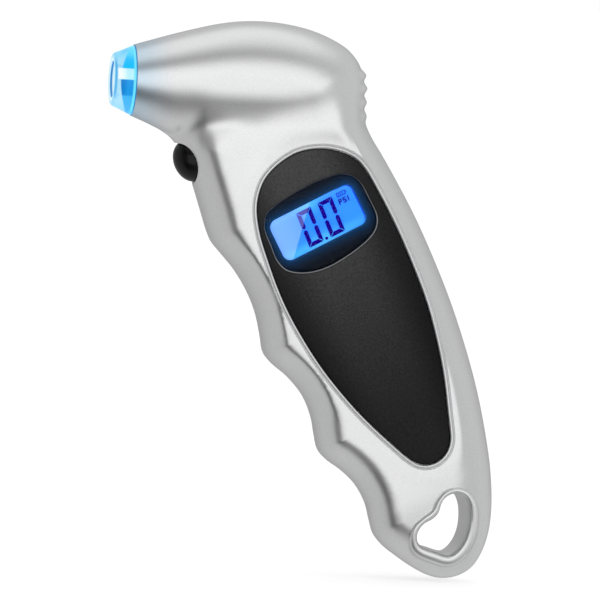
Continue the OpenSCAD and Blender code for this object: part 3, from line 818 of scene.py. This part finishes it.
def window_edge():
    """The window's edge as a thin light-grey tube that paints in the highlight the edge catches:
    thickest along its left, lower and right sides.
    """
    thin, swell, sides = 0.02, 0.13, 8
    thin_side = np.array([-0.46, 0.89])
    line = ccw(spline(WINDOW, 0.35))
    outward = -left_normals(line, True)
    line = line + outward * 0.02
    amount = smooth(-(outward @ thin_side), -0.42, 0.35)
    line_y = -(face_plane(line) - 0.2 + 0.02)
    verts, faces = [], []
    for p, out, part, y in zip(line, outward, amount, line_y):
        radius = thin + swell * part
        for i in range(sides):
            angle = 2 * math.pi * i / sides
            verts.append((p[0] + out[0] * radius * math.cos(angle),
                          y + 0.12 - radius * math.sin(angle) - 0.1 * part,
                          p[1] + out[1] * radius * math.cos(angle)))
    for i in range(len(line)):
        j = (i + 1) % len(line)
        for a in range(sides):
            b = (a + 1) % sides
            faces.append((i * sides + a, j * sides + a, j * sides + b, i * sides + b))
    return face_outwards(new_object("display_window_edge", verts, faces))


pane_edge = window_edge()
soften(pane_edge, 70)


def seven_segment_zero(left, bottom):
    """The leaning figure 0: six segments as polygons in the display's directions."""
    wide, tall, thick, gap, lean = 4.3, 9.9, 1.12, 0.12, 0.069
    middle = tall / 2
    low_tip, high_tip = middle - gap, middle + gap
    low_in, high_in = middle - thick / 2, middle + thick / 2
    segments = [
        # top, bottom
        [(gap, tall), (wide - gap, tall), (wide - thick - gap, tall - thick),
         (thick + gap, tall - thick)],
        [(gap, 0), (thick + gap, thick), (wide - thick - gap, thick), (wide - gap, 0)],
        # lower left, upper left
        [(0, gap), (0, low_in - 0.02), (thick * 0.5, low_tip), (thick, low_in),
         (thick, thick + gap)],
        [(0, tall - gap), (thick, tall - thick - gap), (thick, high_in), (thick * 0.5, high_tip),
         (0, high_in + 0.02)],
        # lower right, upper right
        [(wide, gap), (wide - thick, thick + gap), (wide - thick, low_in),
         (wide - thick * 0.5, low_tip), (wide, low_in - 0.02)],
        [(wide, tall - gap), (wide, high_in + 0.02), (wide - thick * 0.5, high_tip),
         (wide - thick, high_in), (wide - thick, tall - thick - gap)],
    ]
    return [[(left + x + lean * z, bottom + z) for x, z in segment] for segment in segments]


def strokes(lines, width):
    """Each line of a small sign as its own thin rectangle."""
    out = []
    for (x0, z0), (x1, z1) in lines:
        length = math.hypot(x1 - x0, z1 - z0)
        end_x, end_z = (x1 - x0) / length * width / 2, (z1 - z0) / length * width / 2
        side_x, side_z = -(z1 - z0) / length * width / 2, (x1 - x0) / length * width / 2
        out.append([(x0 - end_x + side_x, z0 - end_z + side_z),
                    (x0 - end_x - side_x, z0 - end_z - side_z),
                    (x1 + end_x - side_x, z1 + end_z - side_z),
                    (x1 + end_x + side_x, z1 + end_z + side_z)])
    return out


# Letters as lines from their lower left corner, with where each starts
LETTER_P = [((0, 0), (0, 1.25)), ((0, 1.25), (0.62, 1.25)), ((0.62, 1.25), (0.62, 0.62)),
            ((0.62, 0.62), (0, 0.62))]
LETTER_S = [((0.65, 1.25), (0, 1.25)), ((0, 1.25), (0, 0.64)), ((0, 0.64), (0.65, 0.6)),
            ((0.65, 0.6), (0.65, 0)), ((0.65, 0), (0, 0))]
LETTER_I = [((0, 0), (0, 1.25))]
UNIT_SIGN = ((LETTER_P, 7.55), (LETTER_S, 8.8), (LETTER_I, 10.2))
UNIT_BOTTOM, UNIT_LEAN = 1.45, 0.08
BATTERY_SIGN = [
    ((7.7, 3.85), (7.8, 4.85)), ((7.8, 4.85), (10.2, 4.85)), ((10.2, 4.85), (10.1, 3.85)),
    ((10.1, 3.85), (7.7, 3.85)), ((10.45, 4.15), (10.5, 4.55)), ((8.25, 4.15), (8.3, 4.55)),
    ((8.8, 4.15), (8.85, 4.55)), ((9.35, 4.15), (9.4, 4.55))]
BATTERY_DROP = 0.35
POINT_X, POINT_Z, POINT_R = 0.28, -5.05, 0.43      # the decimal point


def display_figures():
    shapes = seven_segment_zero(-4.98, -5.32) + seven_segment_zero(1.4, -5.42)
    shapes.append([(POINT_X + POINT_R * math.cos(a), POINT_Z + POINT_R * math.sin(a))
                   for a in np.linspace(0, 2 * math.pi, 18, endpoint=False)])
    for letter, left in UNIT_SIGN:
        lines = [[(left + x + z * UNIT_LEAN, UNIT_BOTTOM + z) for x, z in line]
                 for line in letter]
        shapes += strokes(lines, width=0.3)
    shapes += strokes([[(x, z - BATTERY_DROP) for x, z in line] for line in BATTERY_SIGN],
                      width=0.16)
    verts, faces = [], []
    for shape in shapes:
        area = sum(a[0] * b[1] - b[0] * a[1] for a, b in zip(shape, shape[1:] + shape[:1]))
        shape = shape if area > 0 else shape[::-1]
        first, count = len(verts), len(shape)
        verts += [from_display(x, depth, z) for depth in (3.42, 3.6) for x, z in shape]
        second = first + count
        faces += [tuple(range(first, second)), tuple(range(second + count - 1, second - 1, -1))]
        for i in range(count):
            j = (i + 1) % count
            faces.append((first + j, first + i, second + i, second + j))
    return new_object("display_figures", verts, faces)


figures = display_figures()

# ---------------------------------------------------------------- nozzle, button, battery cover
NOZZLE_PROFILE = [      # (x, radius): mouth, flared skin, step into the housing, then the bore
    (0.55, 4.95), (0.18, 5.25), (0.02, 5.7), (0.0, 6.2), (0.12, 6.7), (0.4, 7.05), (0.85, 7.3),
    (1.4, 7.5), (2.4, 7.95), (3.6, 8.5), (4.8, 9.05), (5.45, 9.34), (5.62, 9.3), (5.62, 7.36),
    (9.3, 7.35), (9.35, 6.4), (10.85, 6.4), (10.9, 7.35), (13.0, 7.35), (13.0, 5.35),
    (7.5, 5.35), (7.5, 4.2), (3.2, 4.2), (1.6, 4.45)]
nozzle = lathe("nozzle", NOZZLE_PROFILE, 128, along_x)
soften(nozzle, 40)


def power_button():
    """A polished dome on a round stem, with a rectangular flange behind it."""
    tip, bulge, rim, steps = -2.6, 4.4, 4.6, 18
    stem_r, stem_end = 1.5, 8.0
    profile = [(tip, 0)]
    for i in range(1, steps + 1):
        angle = i / steps * math.pi / 2
        profile.append((tip + bulge * (1 - math.cos(angle)), BUTTON_R * math.sin(angle)))
    profile += [(4.5, BUTTON_R), (rim, BUTTON_R - 0.1), (rim, stem_r), (stem_end, stem_r),
                (stem_end, 0)]
    cap = lathe("button_cap", profile, 96, along_button)
    corners = ((-3.5, -7), (3.5, -7), (3.5, 7), (-3.5, 7))
    verts = [along_button(axial, side, up) for axial in (3.7, rim) for side, up in corners]
    faces = [(0, 1, 2, 3), (7, 6, 5, 4), (0, 4, 5, 1), (1, 5, 6, 2), (2, 6, 7, 3), (3, 7, 4, 0)]
    boolean(cap, face_outwards(new_object("flange", verts, faces)), "UNION")
    return cap


button = power_button()
soften(button, 40)


def cover_height(points):
    """The housing's surface with grooves across it, each shorter than the one above."""
    height = body(points, 0, *edge_distances(points))
    across, up = to_handle(points)
    for i in range(GROOVES):
        middle = GROOVE_TOP - i * GROOVE_PITCH
        half = 7.0 - i * 0.4
        ends = 1 - smooth(np.abs(across + 1), half - 0.5, half + 0.4)
        height = height - 0.42 * (np.exp(-((up - middle) / 0.42) ** 2) * ends)
    return height


def battery_cover():
    rim_steps = ((0.0, 0.32), (0.05, 0.2), (0.15, 0.08), (0.3, 0.0))     # inset, height lost
    bore_r, bore_steps = 2.5, ((0, 0.3), (0.1, 0.12), (0.3, 0.0))        # gap, height lost
    outer = round_rect(-15, 13, -63.5, -11.5, 2.5)
    x, z = from_handle(np.array([-1.0]), np.array([-59.0]))[0]
    bores = [circle(x, z, bore_r + gap, 40) for gap, _ in bore_steps]
    groove_points = []
    for i in range(GROOVES):
        for shift in (-0.75, -0.5, -0.25, 0, 0.25, 0.5):
            across = np.arange(-9, 7.01, 0.5)
            up = np.full(len(across), GROOVE_TOP - i * GROOVE_PITCH + shift)
            groove_points += [tuple(p) for p in from_handle(across, up)]
    loops = [offset(outer, -inset) for inset, _ in rim_steps] + bores
    points, triangles = triangulate([], loops, [(np.array(groove_points), 0.2)], outer,
                                    bores[:1], 0.8)
    height = cover_height(points)
    height -= at_stations(dist(points, outer, True), rim_steps)
    height -= at_stations(dist(points, bores[0], True), bore_steps)
    return close_plate("battery_cover_panel", points, triangles, height,
                       np.full(len(points), 7.76))


cover = battery_cover()
soften(cover, 45)


# ---------------------------------------------------------------- node tools
class Signal:
    """A node's output; arithmetic on it adds Math nodes."""

    def __init__(self, nodes, socket):
        self.nodes = nodes
        self.socket = socket

    def __add__(self, other):
        return self.nodes.math("ADD", self, other)

    def __radd__(self, other):
        return self.nodes.math("ADD", other, self)

    def __sub__(self, other):
        return self.nodes.math("SUBTRACT", self, other)

    def __rsub__(self, other):
        return self.nodes.math("SUBTRACT", other, self)

    def __mul__(self, other):
        return self.nodes.math("MULTIPLY", self, other)

    def __rmul__(self, other):
        return self.nodes.math("MULTIPLY", other, self)

    def __abs__(self):
        return self.nodes.math("ABSOLUTE", self)


class Nodes:
    """Short names for building a node tree."""

    def __init__(self, tree):
        self.tree = tree
        tree.nodes.clear()

    def put(self, socket, value):
        """Links a signal or sets a value; colours are given as r g b."""
        if isinstance(value, Signal):
            self.tree.links.new(value.socket, socket)
        else:
            socket.default_value = (*value[:3], 1) if socket.type == "RGBA" else value

    def add(self, kind, **inputs):
        node = self.tree.nodes.new(kind)
        for name, value in inputs.items():
            self.put(node.inputs[name.replace("_", " ")], value)
        return node

    def out(self, node, key=0):
        return Signal(self, node.outputs[key])

    def math(self, operation, *values):
        node = self.add("ShaderNodeMath")
        node.operation = operation
        for i, value in enumerate((*values, 0.0, 0.0)[:3]):
            self.put(node.inputs[i], value)
        return self.out(node)

    def vec(self, operation, one, two=(0, 0, 0)):
        node = self.add("ShaderNodeVectorMath")
        node.operation = operation
        self.put(node.inputs[0], one)
        self.put(node.inputs[1], two)
        return self.out(node, "Value" if operation == "DOT_PRODUCT" else "Vector")

    def ramp(self, value, over, to=(0.0, 1.0), eased=True):
        """Goes from to[0] to to[1] while value crosses the range `over`."""
        node = self.add("ShaderNodeMapRange")
        if eased:
            node.interpolation_type = "SMOOTHSTEP"
        node.clamp = True
        for i, entry in enumerate((value, *over, *to)):
            self.put(node.inputs[i], entry)
        return self.out(node)

    def mix(self, part, one, two):
        """Colour one, turning into colour two as part goes from 0 to 1."""
        node = self.add("ShaderNodeMix")
        node.data_type = "RGBA"
        for i, value in ((0, part), (6, one), (7, two)):
            self.put(node.inputs[i], value)
        return self.out(node, 2)

    def coords(self, kind="Object"):
        return self.out(self.add("ShaderNodeTexCoord"), kind)

    def split(self, vector):
        node = self.add("ShaderNodeSeparateXYZ", Vector=vector)
        return [self.out(node, i) for i in range(3)]

    def noise(self, vector, scale, detail=2.0, rough=0.5):
        return self.out(self.add("ShaderNodeTexNoise", Vector=vector, Scale=scale, Detail=detail,
                                 Roughness=rough), "Fac")

    def bump(self, height, strength, distance):
        return self.out(self.add("ShaderNodeBump", Height=height, Strength=strength,
                                 Distance=distance), "Normal")

    def surface(self, shader):
        self.add("ShaderNodeOutputMaterial", Surface=shader)

    def principled(self, **inputs):
        self.surface(self.out(self.add("ShaderNodeBsdfPrincipled", **inputs)))


def material(name):
    new = bpy.data.materials.new(name)
    new.use_nodes = True
    return new, Nodes(new.node_tree)


def screen(*colour):
    """A colour as seen on a screen, made linear."""
    return tuple(c / 12.92 if c < 0.04045 else ((c + 0.055) / 1.055) ** 2.4 for c in colour)


# ---------------------------------------------------------------- materials
def plain(name, color, rough=0.5, metal=0.0, grain=1500, depth=0.00002, vary=0.12, strength=0.3,
          coat=0.0, **more):
    """A moulded or plated finish. grain: scale of the fine bumps; depth, strength: their height;
    vary: how much darker the colour gets in places."""
    mat, n = material(name)
    co = n.coords()
    fine = n.noise(co, scale=grain, detail=3)
    wide = n.noise(co, scale=90)
    darker = tuple(max(0, min(1, c * (1 - vary))) for c in color)
    base = n.mix(wide, color, darker)
    n.principled(Base_Color=base, Metallic=metal, Roughness=rough + (fine - 0.5) * 0.15,
                 Normal=n.bump(fine, strength, depth), Coat_Weight=coat, **more)
    return mat


def silver_paint():
    """Metal flake, with painted blue light from the lit nozzle on the housing near it."""
    mat, n = material("silver_paint")
    co = n.coords()
    coarse = n.noise(co, scale=3200, rough=0.6)
    fine = n.noise(co, scale=7000, detail=1)
    wide = n.noise(co, scale=45)
    grain = coarse * 0.65 + fine * 0.35
    tone = n.ramp(grain, over=(0.25, 0.75), eased=False)
    base = n.mix(tone, (0.74, 0.745, 0.75), (0.95, 0.95, 0.95))
    base = n.mix(wide * 0.25, base, (0.87, 0.875, 0.88))
    x = n.split(co)[0]
    # painted light: the nozzle's blue glow mixed into the paint's colour near the nozzle
    painted_nozzle_light = n.ramp(x * PER_MM, over=(5.6, 17.0), to=(1, 0))
    base = n.mix(painted_nozzle_light * 0.75, base, (0.6, 0.77, 0.9))
    n.principled(Base_Color=base, Metallic=0.92, Roughness=0.27 + grain * 0.07,
                 Normal=n.bump(grain, strength=0.32, distance=0.00003))
    return mat


def display_position(n):
    """Object coordinates, and the place on the display in mm, across and up."""
    co = n.coords()
    rel = n.vec("SUBTRACT", co, (LCD[0] * MM, 0, LCD[1] * MM))
    across = n.vec("DOT_PRODUCT", rel, (LEAN_COS, 0, LEAN_SIN)) * PER_MM
    up = n.vec("DOT_PRODUCT", rel, (-LEAN_SIN, 0, LEAN_COS)) * PER_MM
    return co, across, up


def fascia_black():
    """Fine-grained black, with painted light: its colour is lighter at the upper middle and darker
    along its sides and its lower end, and it reflects more strongly where it is painted lighter."""
    mat, n = material("fascia_satin")
    co, across, up = display_position(n)
    fine = n.noise(co, scale=4200, detail=3, rough=0.7)
    middle = n.noise(co, scale=1900, rough=0.6)
    grain = fine * 0.6 + middle * 0.4
    # painted light and shade: lighter at the upper middle, darker towards the sides and the lower
    # end
    centred = n.ramp(abs(across + up * -0.03), over=(4.0, 17.5), to=(1, 0.3))
    lit = centred * n.ramp(up, over=(-66, 22), to=(0.3, 1.15))
    tone = n.ramp(grain, over=(0.38, 0.66), eased=False)
    base = n.mix(tone, (0.008, 0.008, 0.009), (0.05, 0.05, 0.053))
    base = n.mix(lit, (0.004, 0.004, 0.0045), base)
    n.principled(Base_Color=base, Roughness=0.4 + grain * 0.12, Specular_IOR_Level=lit * 0.5,
                 Normal=n.bump(grain, strength=0.4, distance=0.00004))
    return mat


def painted_glare_mask(n, across, up):
    """1 left of a slanting line across the display, 0 right of it: where a painted reflection is
    laid over the display.
    """
    slant, start = 0.908, -4.8
    line = up * slant + start
    return n.ramp(across - line, over=(-0.06, 0.06), to=(1, 0))


def view_distance(n, across, up):
    """Signed distance in mm to the edge of the visible display."""
    x = n.math("MAXIMUM", abs(across) - (VIEW_X - VIEW_ROUND), 0)
    z = n.math("MAXIMUM", abs(up) - (VIEW_Z - VIEW_ROUND), 0)
    return n.math("SQRT", x * x + z * z) - VIEW_ROUND


def lit_display():
    mat, n = material("lit_display")
    co, across, up = display_position(n)
    # deeper blue low down, paler at the top, deeper again at the right
    base = n.mix(n.ramp(up, over=(-5.9, -2.6), to=(1, 0)),
                 screen(0.16, 0.49, 1.0), screen(0.28, 0.68, 1.0))
    base = n.mix(n.ramp(up, over=(3.4, 6.0)) * 0.7, base, screen(0.3, 0.62, 1.0))
    base = n.mix(n.ramp(across, over=(2, 12), to=(0, 0.5)), base, screen(0.18, 0.54, 1.0))
    # bright patches above and below the centre
    middle = (n.ramp(abs(across + 1.0), over=(0, 6), to=(1, 0))
              * n.ramp(abs(up), over=(1.5, 6), to=(0, 0.6)))
    base = n.mix(middle, base, screen(0.34, 0.75, 1.0))
    base = n.mix(n.noise(co, scale=240) * 0.12, base, (0.1, 0.4, 1.0))
    # painted reflection across the left of the display
    glare = painted_glare_mask(n, across, up) * n.ramp(across, over=(-12, -3), to=(0.3, 0.2))
    base = n.mix(glare, base, screen(0.75, 0.88, 1.0))
    # dark line just inside the right-hand edge
    gap = view_distance(n, across, up)
    right = n.ramp(across + up * 0.35, over=(8.5, 11.5))
    wall = n.ramp(gap, over=(-0.5, -0.28)) * right
    base = n.mix(wall * 0.85, base, screen(0.05, 0.16, 0.62))
    n.principled(Base_Color=base, Roughness=0.6, Specular_IOR_Level=0.0, Emission_Color=base,
                 Emission_Strength=0.72)
    return mat


def figure_ink():
    mat, n = material("display_ink")
    co, across, up = display_position(n)
    base = n.mix(n.noise(co, scale=700), screen(0.06, 0.0, 0.42), screen(0.1, 0.02, 0.5))
    # painted reflection across the left of the figures
    base = n.mix(painted_glare_mask(n, across, up) * 0.22, base, screen(0.62, 0.62, 0.9))
    n.principled(Base_Color=base, Roughness=0.6, Specular_IOR_Level=0.0, Emission_Color=base,
                 Emission_Strength=0.7)
    return mat


def glow_border():
    """Near-black print with a painted blue glow, standing in for the display's light, that fades
    away from the display.
    """
    mat, n = material("display_border_print")
    co, across, up = display_position(n)
    gap = view_distance(n, across, up)
    fade = -0.95    # per mm
    # painted glow: emission on the print in place of the display's light
    glow = n.math("POWER", 2.718, n.math("MAXIMUM", gap, 0) * fade)
    light = n.mix(glow, (0.0006, 0.001, 0.002), (0.001, 0.05, 0.16))
    base = n.mix(n.noise(co, scale=2500), (0.002, 0.003, 0.005), (0.003, 0.004, 0.006))
    n.principled(Base_Color=base, Roughness=0.5, Specular_IOR_Level=0.05, Emission_Color=light,
                 Emission_Strength=1.0)
    return mat


def clear_cover():
    """Transparent, with a faint reflection at grazing angles."""
    mat, n = material("clear_cover")
    tint = n.mix(n.noise(n.coords(), scale=400), (0.97, 0.985, 1.0), (0.95, 0.97, 1.0))
    clear = n.add("ShaderNodeBsdfTransparent", Color=tint)
    gloss = n.add("ShaderNodeBsdfGlossy", Roughness=0.06)
    reflection = n.out(n.add("ShaderNodeFresnel", IOR=1.4)) * 0.14
    mixed = n.add("ShaderNodeMixShader")
    for i, value in enumerate((reflection, n.out(clear), n.out(gloss))):
        n.put(mixed.inputs[i], value)
    n.surface(n.out(mixed))
    return mat


def nozzle_glow():
    """Clear plastic lit from behind: a pale mouth, a near-white painted highlight with deeper blue
    above and below it, and a bright ring where it enters the housing."""
    mat, n = material("lit_nozzle")
    co = n.coords()
    x, y, z = [part * PER_MM for part in n.split(co)]
    radius = n.math("SQRT", y * y + z * z)
    raised = z - 0.6
    # the pale skin, cyan towards the top
    skin = n.mix(n.ramp(z, over=(3.5, 8.5)), screen(0.66, 0.86, 0.95), screen(0.45, 0.83, 0.97))
    skin = n.mix(n.ramp(z, over=(-8.5, -4.5), to=(1, 0)), skin, screen(0.56, 0.83, 0.95))
    streak = n.noise(n.vec("MULTIPLY", co, (0.35, 1, 1)), scale=420, detail=3, rough=0.6)
    skin = n.mix(n.ramp(streak, over=(0.5, 0.62), to=(0, 0.35)), skin, screen(0.25, 0.72, 0.97))
    # deeper blue behind it, with a curved front edge
    start = 1.5 + raised * raised * n.ramp(z, over=(-1, 1), to=(0.028, 0.042))
    inner = n.ramp(x - start, over=(-0.12, 0.25))
    lower = n.mix(n.ramp(x, over=(2.2, 3.6)), screen(0.08, 0.5, 0.8), screen(0.12, 0.58, 0.88))
    blue = n.mix(n.ramp(z, over=(-4.3, -3.7)), screen(0.24, 0.69, 0.93), lower)
    blue = n.mix(n.ramp(z, over=(0.1, 0.6)), blue, screen(0.1, 0.74, 1.0))
    blue = n.mix(n.ramp(z, over=(5.5, 8.0)), blue, screen(0.36, 0.85, 1.0))
    glow = n.mix(inner, skin, blue)
    # near-white patch: a painted highlight laid into the glow
    band = n.ramp(z, over=(0.2, 0.6)) * n.ramp(z, over=(3.1, 3.5), to=(1, 0))
    band = band * n.ramp(x, over=(0.55, 1.0))
    white = n.mix(n.ramp(x, over=(1.6, 3.6)), screen(0.93, 0.98, 1.0), screen(0.72, 0.93, 0.99))
    glow = n.mix(band, glow, white)
    # bright ring at the housing, and a fine dark line where they meet
    glow = n.mix(n.ramp(x, over=(4.75, 4.95)) * 0.9, glow, screen(0.42, 0.88, 0.98))
    glow = n.mix(n.ramp(x, over=(5.4, 5.56)), glow, screen(0.12, 0.5, 0.75))
    # the mouth: pale, with a fine blue line just inside its opening and a pale blue shoulder
    mouth = n.mix(n.ramp(radius, over=(5.5, 6.3)),
                  screen(0.82, 0.93, 0.96), screen(0.62, 0.86, 0.95))
    bore = n.mix(n.ramp(x, over=(0.75, 1.15)), screen(0.14, 0.52, 0.8), screen(0.84, 0.93, 0.95))
    mouth = n.mix(n.ramp(radius, over=(4.95, 5.2), to=(1, 0)), mouth, bore)
    glow = n.mix(n.ramp(radius, over=(6.55, 7.1), to=(1, 0)), glow, mouth)
    shoulder = (n.ramp(abs(radius - 6.95), over=(0.1, 0.4), to=(1, 0))
                * n.ramp(abs(raised), over=(3.5, 6.0), to=(1, 0.15)))
    glow = n.mix(shoulder * 0.85, glow, screen(0.21, 0.65, 0.89))
    # the underside by the housing
    under = n.ramp(x, over=(3.8, 5.3)) * n.ramp(z, over=(-8.4, -7.4), to=(0.7, 0))
    glow = n.mix(under, glow, screen(0.3, 0.75, 0.97))
    dim = n.mix(0.7, glow, (0, 0, 0))
    n.principled(Base_Color=dim, Roughness=0.1, Specular_IOR_Level=0.3, Emission_Color=glow,
                 Emission_Strength=0.84, Coat_Weight=0.25, Coat_Roughness=0.05)
    return mat


FINISH = {
    "silver": silver_paint(),
    "fascia": fascia_black(),
    "lcd": lit_display(),
    "ink": figure_ink(),
    "border": glow_border(),
    "clear": clear_cover(),
    "nozzle": nozzle_glow(),
    "button": plain("gloss_black", (0.004, 0.004, 0.004), rough=0.16, grain=900, depth=0.000004,
                    vary=0.2, strength=0.12, coat=0.1, Specular_IOR_Level=0.16),
    # the window edge's light grey is a painted highlight
    "edge": plain("window_edge_painted_highlight", (0.3, 0.31, 0.32), rough=0.4, grain=2400, depth=0.00001,
                  vary=0.3),
    "frame": plain("frame_black", (0.02, 0.02, 0.022)),
    "guide": plain("light_guide_acrylic", (0.8, 0.9, 1.0), rough=0.2, grain=600, depth=0.00001,
                   vary=0.05),
    "led": plain("lamp_resin", (0.85, 0.93, 1.0), rough=0.15, grain=600, depth=0.00001,
                 vary=0.05),
    "board": plain("board_green", (0.01, 0.1, 0.04), rough=0.4, grain=2400, vary=0.3),
    "resin": plain("resin_black", (0.01, 0.01, 0.012), rough=0.25),
    "parts": plain("component_tan", (0.45, 0.36, 0.24)),
    "steel": plain("screw_steel", (0.55, 0.55, 0.57), rough=0.3, metal=1.0, grain=1800,
                   vary=0.15),
    "rubber": plain("rubber_black", (0.015, 0.015, 0.016), rough=0.75, grain=1200,
                    depth=0.00004),
    "pink": plain("rubber_pink", (0.65, 0.42, 0.38), rough=0.7),
    "brass": plain("brass_turned", (0.72, 0.52, 0.22), rough=0.28, metal=1.0),
    "red": plain("plunger_red", (0.35, 0.02, 0.02), rough=0.45),
    "white": plain("sensor_ceramic", (0.75, 0.75, 0.72), rough=0.55),
    "tin": plain("lead_tinned", (0.6, 0.6, 0.62), rough=0.35, metal=1.0),
    "wire": plain("wire_red", (0.5, 0.02, 0.02), rough=0.4),
    "cell": plain("cell_nickel", (0.66, 0.66, 0.68), rough=0.22, metal=1.0, grain=2600,
                  depth=0.00001),
    "contact": plain("contact_nickel", (0.7, 0.66, 0.52), rough=0.3, metal=1.0),
}


def dress(obj, mat):
    obj.data.materials.clear()
    obj.data.materials.append(mat)


# object, finish, body it rides on, slot, CAD piece it replaces
PIECES = [
    (front, "silver", "housing", "shell_silver", "front_shell"),
    (rear, "silver", "housing", "shell_silver", "rear_shell"),
    (fascia, "fascia", "housing", "fascia_black", "fascia"),
    (pane, "clear", "housing", "window_clear", "lcd_window"),
    (pane_edge, "edge", "housing", "window_clear", "lcd_window"),
    (print_border, "border", "housing", "window_clear", "lcd_window"),
    (glass, "lcd", "housing", "lcd_blue", "lcd_glass"),
    (figures, "ink", "housing", "lcd_blue", "lcd_glass"),
    (nozzle, "nozzle", "housing", "nozzle_blue", "nozzle_tip"),
    (button, "button", "button", "button_black", "power_button"),
    (cover, "silver", "battery_cover", "shell_silver", "battery_door"),
]
for obj, finish, body_name, slot, node_name in PIECES:
    dress(obj, FINISH[finish])
    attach(obj, body_name)
    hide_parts(node_name)

# CAD pieces that are kept, and their finishes
KEPT = {
    "lcd_frame": "frame", "lcd_connector": "pink", "backlight_panel": "guide",
    "backlight_leds": "led", "circuit_board": "board", "controller_blob": "resin",
    "board_components": "parts", "board_screws": "steel", "housing_screws": "steel",
    "switch_body": "frame", "switch_plunger": "red", "valve_seal": "rubber",
    "core_pin": "brass", "air_manifold": "frame", "sensor_seal": "rubber",
    "pressure_sensor": "white", "sensor_leads": "tin", "nozzle_led": "led",
    "led_leads": "wire", "battery_tray": "frame", "coin_cell": "cell",
    "coin_contacts": "contact", "button_cells": "cell", "cell_contacts": "contact",
    "battery_leads": "wire", "door_screw": "steel"}
for node_name, finish in KEPT.items():
    dress(NODE[node_name], FINISH[finish])


# ---------------------------------------------------------------- floor
def make_floor():
    half, z = 6000, -130.5
    floor = new_object("floor", [(-half, -half, z), (half, -half, z), (half, half, z),
                                 (-half, half, z)], [(0, 1, 2, 3)])
    mat, n = material("floor_pale")
    tone = n.mix(n.noise(n.coords(), scale=30), (0.93, 0.93, 0.93), (0.95, 0.95, 0.95))
    n.principled(Base_Color=tone, Roughness=0.7, Emission_Color=(1, 1, 1), Emission_Strength=0.5)
    dress(floor, mat)
    floor.visible_glossy = False


make_floor()


# ---------------------------------------------------------------- light
def cone(n, direction, axis, inner, outer):
    """1 within `inner` degrees of the axis, 0 beyond `outer`."""
    length = math.sqrt(sum(c * c for c in axis))
    facing = n.vec("DOT_PRODUCT", direction, tuple(c / length for c in axis))
    return n.ramp(facing, over=(math.cos(math.radians(outer)), math.cos(math.radians(inner))))


def studio_world():
    """Grey surroundings painted by direction; the camera itself sees plain white."""
    world = bpy.data.worlds.new("studio")
    SCENE.world = world
    world.use_nodes = True
    n = Nodes(world.node_tree)
    direction = n.vec("NORMALIZE", n.coords("Generated"))
    x, y, z = n.split(direction)
    to_degrees = 57.3
    height = n.math("ARCSINE", z) * to_degrees
    bearing = n.math("ARCTAN2", x, y * -1) * to_degrees     # from -Y towards +X
    # a soft box ahead of the object, wider than it is tall
    front_box = (n.ramp(abs(bearing - 2), over=(20, 44), to=(1, 0))
                 * (n.ramp(height, over=(-27, -8)) * n.ramp(height, over=(20, 42), to=(1, 0))))
    ring = cone(n, direction, (0.0, -1, 0.1), inner=55, outer=92) * (1 - front_box)
    # how dark the surround of the box is: more below, at the left and above; less at the right
    low = (n.ramp(height, over=(-30, -6), to=(1, 0))
           * n.ramp(height, over=(-62, -38), to=(0.2, 1)))
    left = n.ramp(x, over=(-0.8, 0.0), to=(1, 0))
    right = n.ramp(x, over=(0.0, 0.7))
    high = n.ramp(z, over=(0.3, 0.55)) * n.ramp(z, over=(0.8, 0.95), to=(1, 0))
    dark = low * 0.3 + left * 0.28 + high * 0.2 + 0.14
    dark = dark * (1 - right * 0.78)
    light = 0.6 + front_box * 0.5 - left * 0.07 - ring * dark
    # a lighter upright band at the front left
    band = (n.ramp(bearing, over=(-70, -52)) * n.ramp(bearing, over=(-26, -14), to=(1, 0))
            * n.ramp(height, over=(-36, -25)))
    light = light + band * 0.17
    light = light + cone(n, direction, (0, -0.1, 1), inner=20, outer=42) * 0.34    # top box
    behind = (cone(n, direction, (0, 1, 0), inner=25, outer=75)
              * n.ramp(z, over=(0.1, 0.5), to=(1, 0.3)))
    light = n.math("MAXIMUM", light - behind * 0.19, 0.03)
    seen = n.out(n.add("ShaderNodeLightPath"), "Is Camera Ray")
    value = light * (1 - seen) + 1.0 * seen
    grey = n.out(n.add("ShaderNodeCombineColor", Red=value, Green=value, Blue=value))
    background = n.add("ShaderNodeBackground", Color=grey)
    n.add("ShaderNodeOutputWorld", Surface=n.out(background))


studio_world()


# ---------------------------------------------------------------- camera
def make_camera():
    """A long lens ahead of the object (-Y), a little to its left and above, rolled slightly."""
    turn, rise, roll = math.radians(-9), math.radians(3), math.radians(3.2)
    distance = 3.0
    aim_right, aim_down = 0.05055, 0.0592      # aim point in the picture plane, from the origin
    towards = Vector((math.sin(turn) * math.cos(rise), -math.cos(turn) * math.cos(rise),
                      math.sin(rise)))
    level = Vector((math.cos(turn), math.sin(turn), 0))
    upright = towards.cross(level)
    right = level * math.cos(roll) + upright * math.sin(roll)
    above = -level * math.sin(roll) + upright * math.cos(roll)
    centre = right * aim_right - above * aim_down
    data = bpy.data.cameras.new("camera")
    data.lens, data.sensor_width = 672, 36
    data.clip_start, data.clip_end = 0.1, 40
    camera = bpy.data.objects.new("camera", data)
    rotation = Matrix((right, above, towards)).transposed()
    camera.matrix_world = Matrix.Translation(centre + towards * distance) @ rotation.to_4x4()
    SCENE.collection.objects.link(camera)
    SCENE.camera = camera


make_camera()
SCENE.view_settings.view_transform = "Standard"
SCENE.view_settings.look = "None"
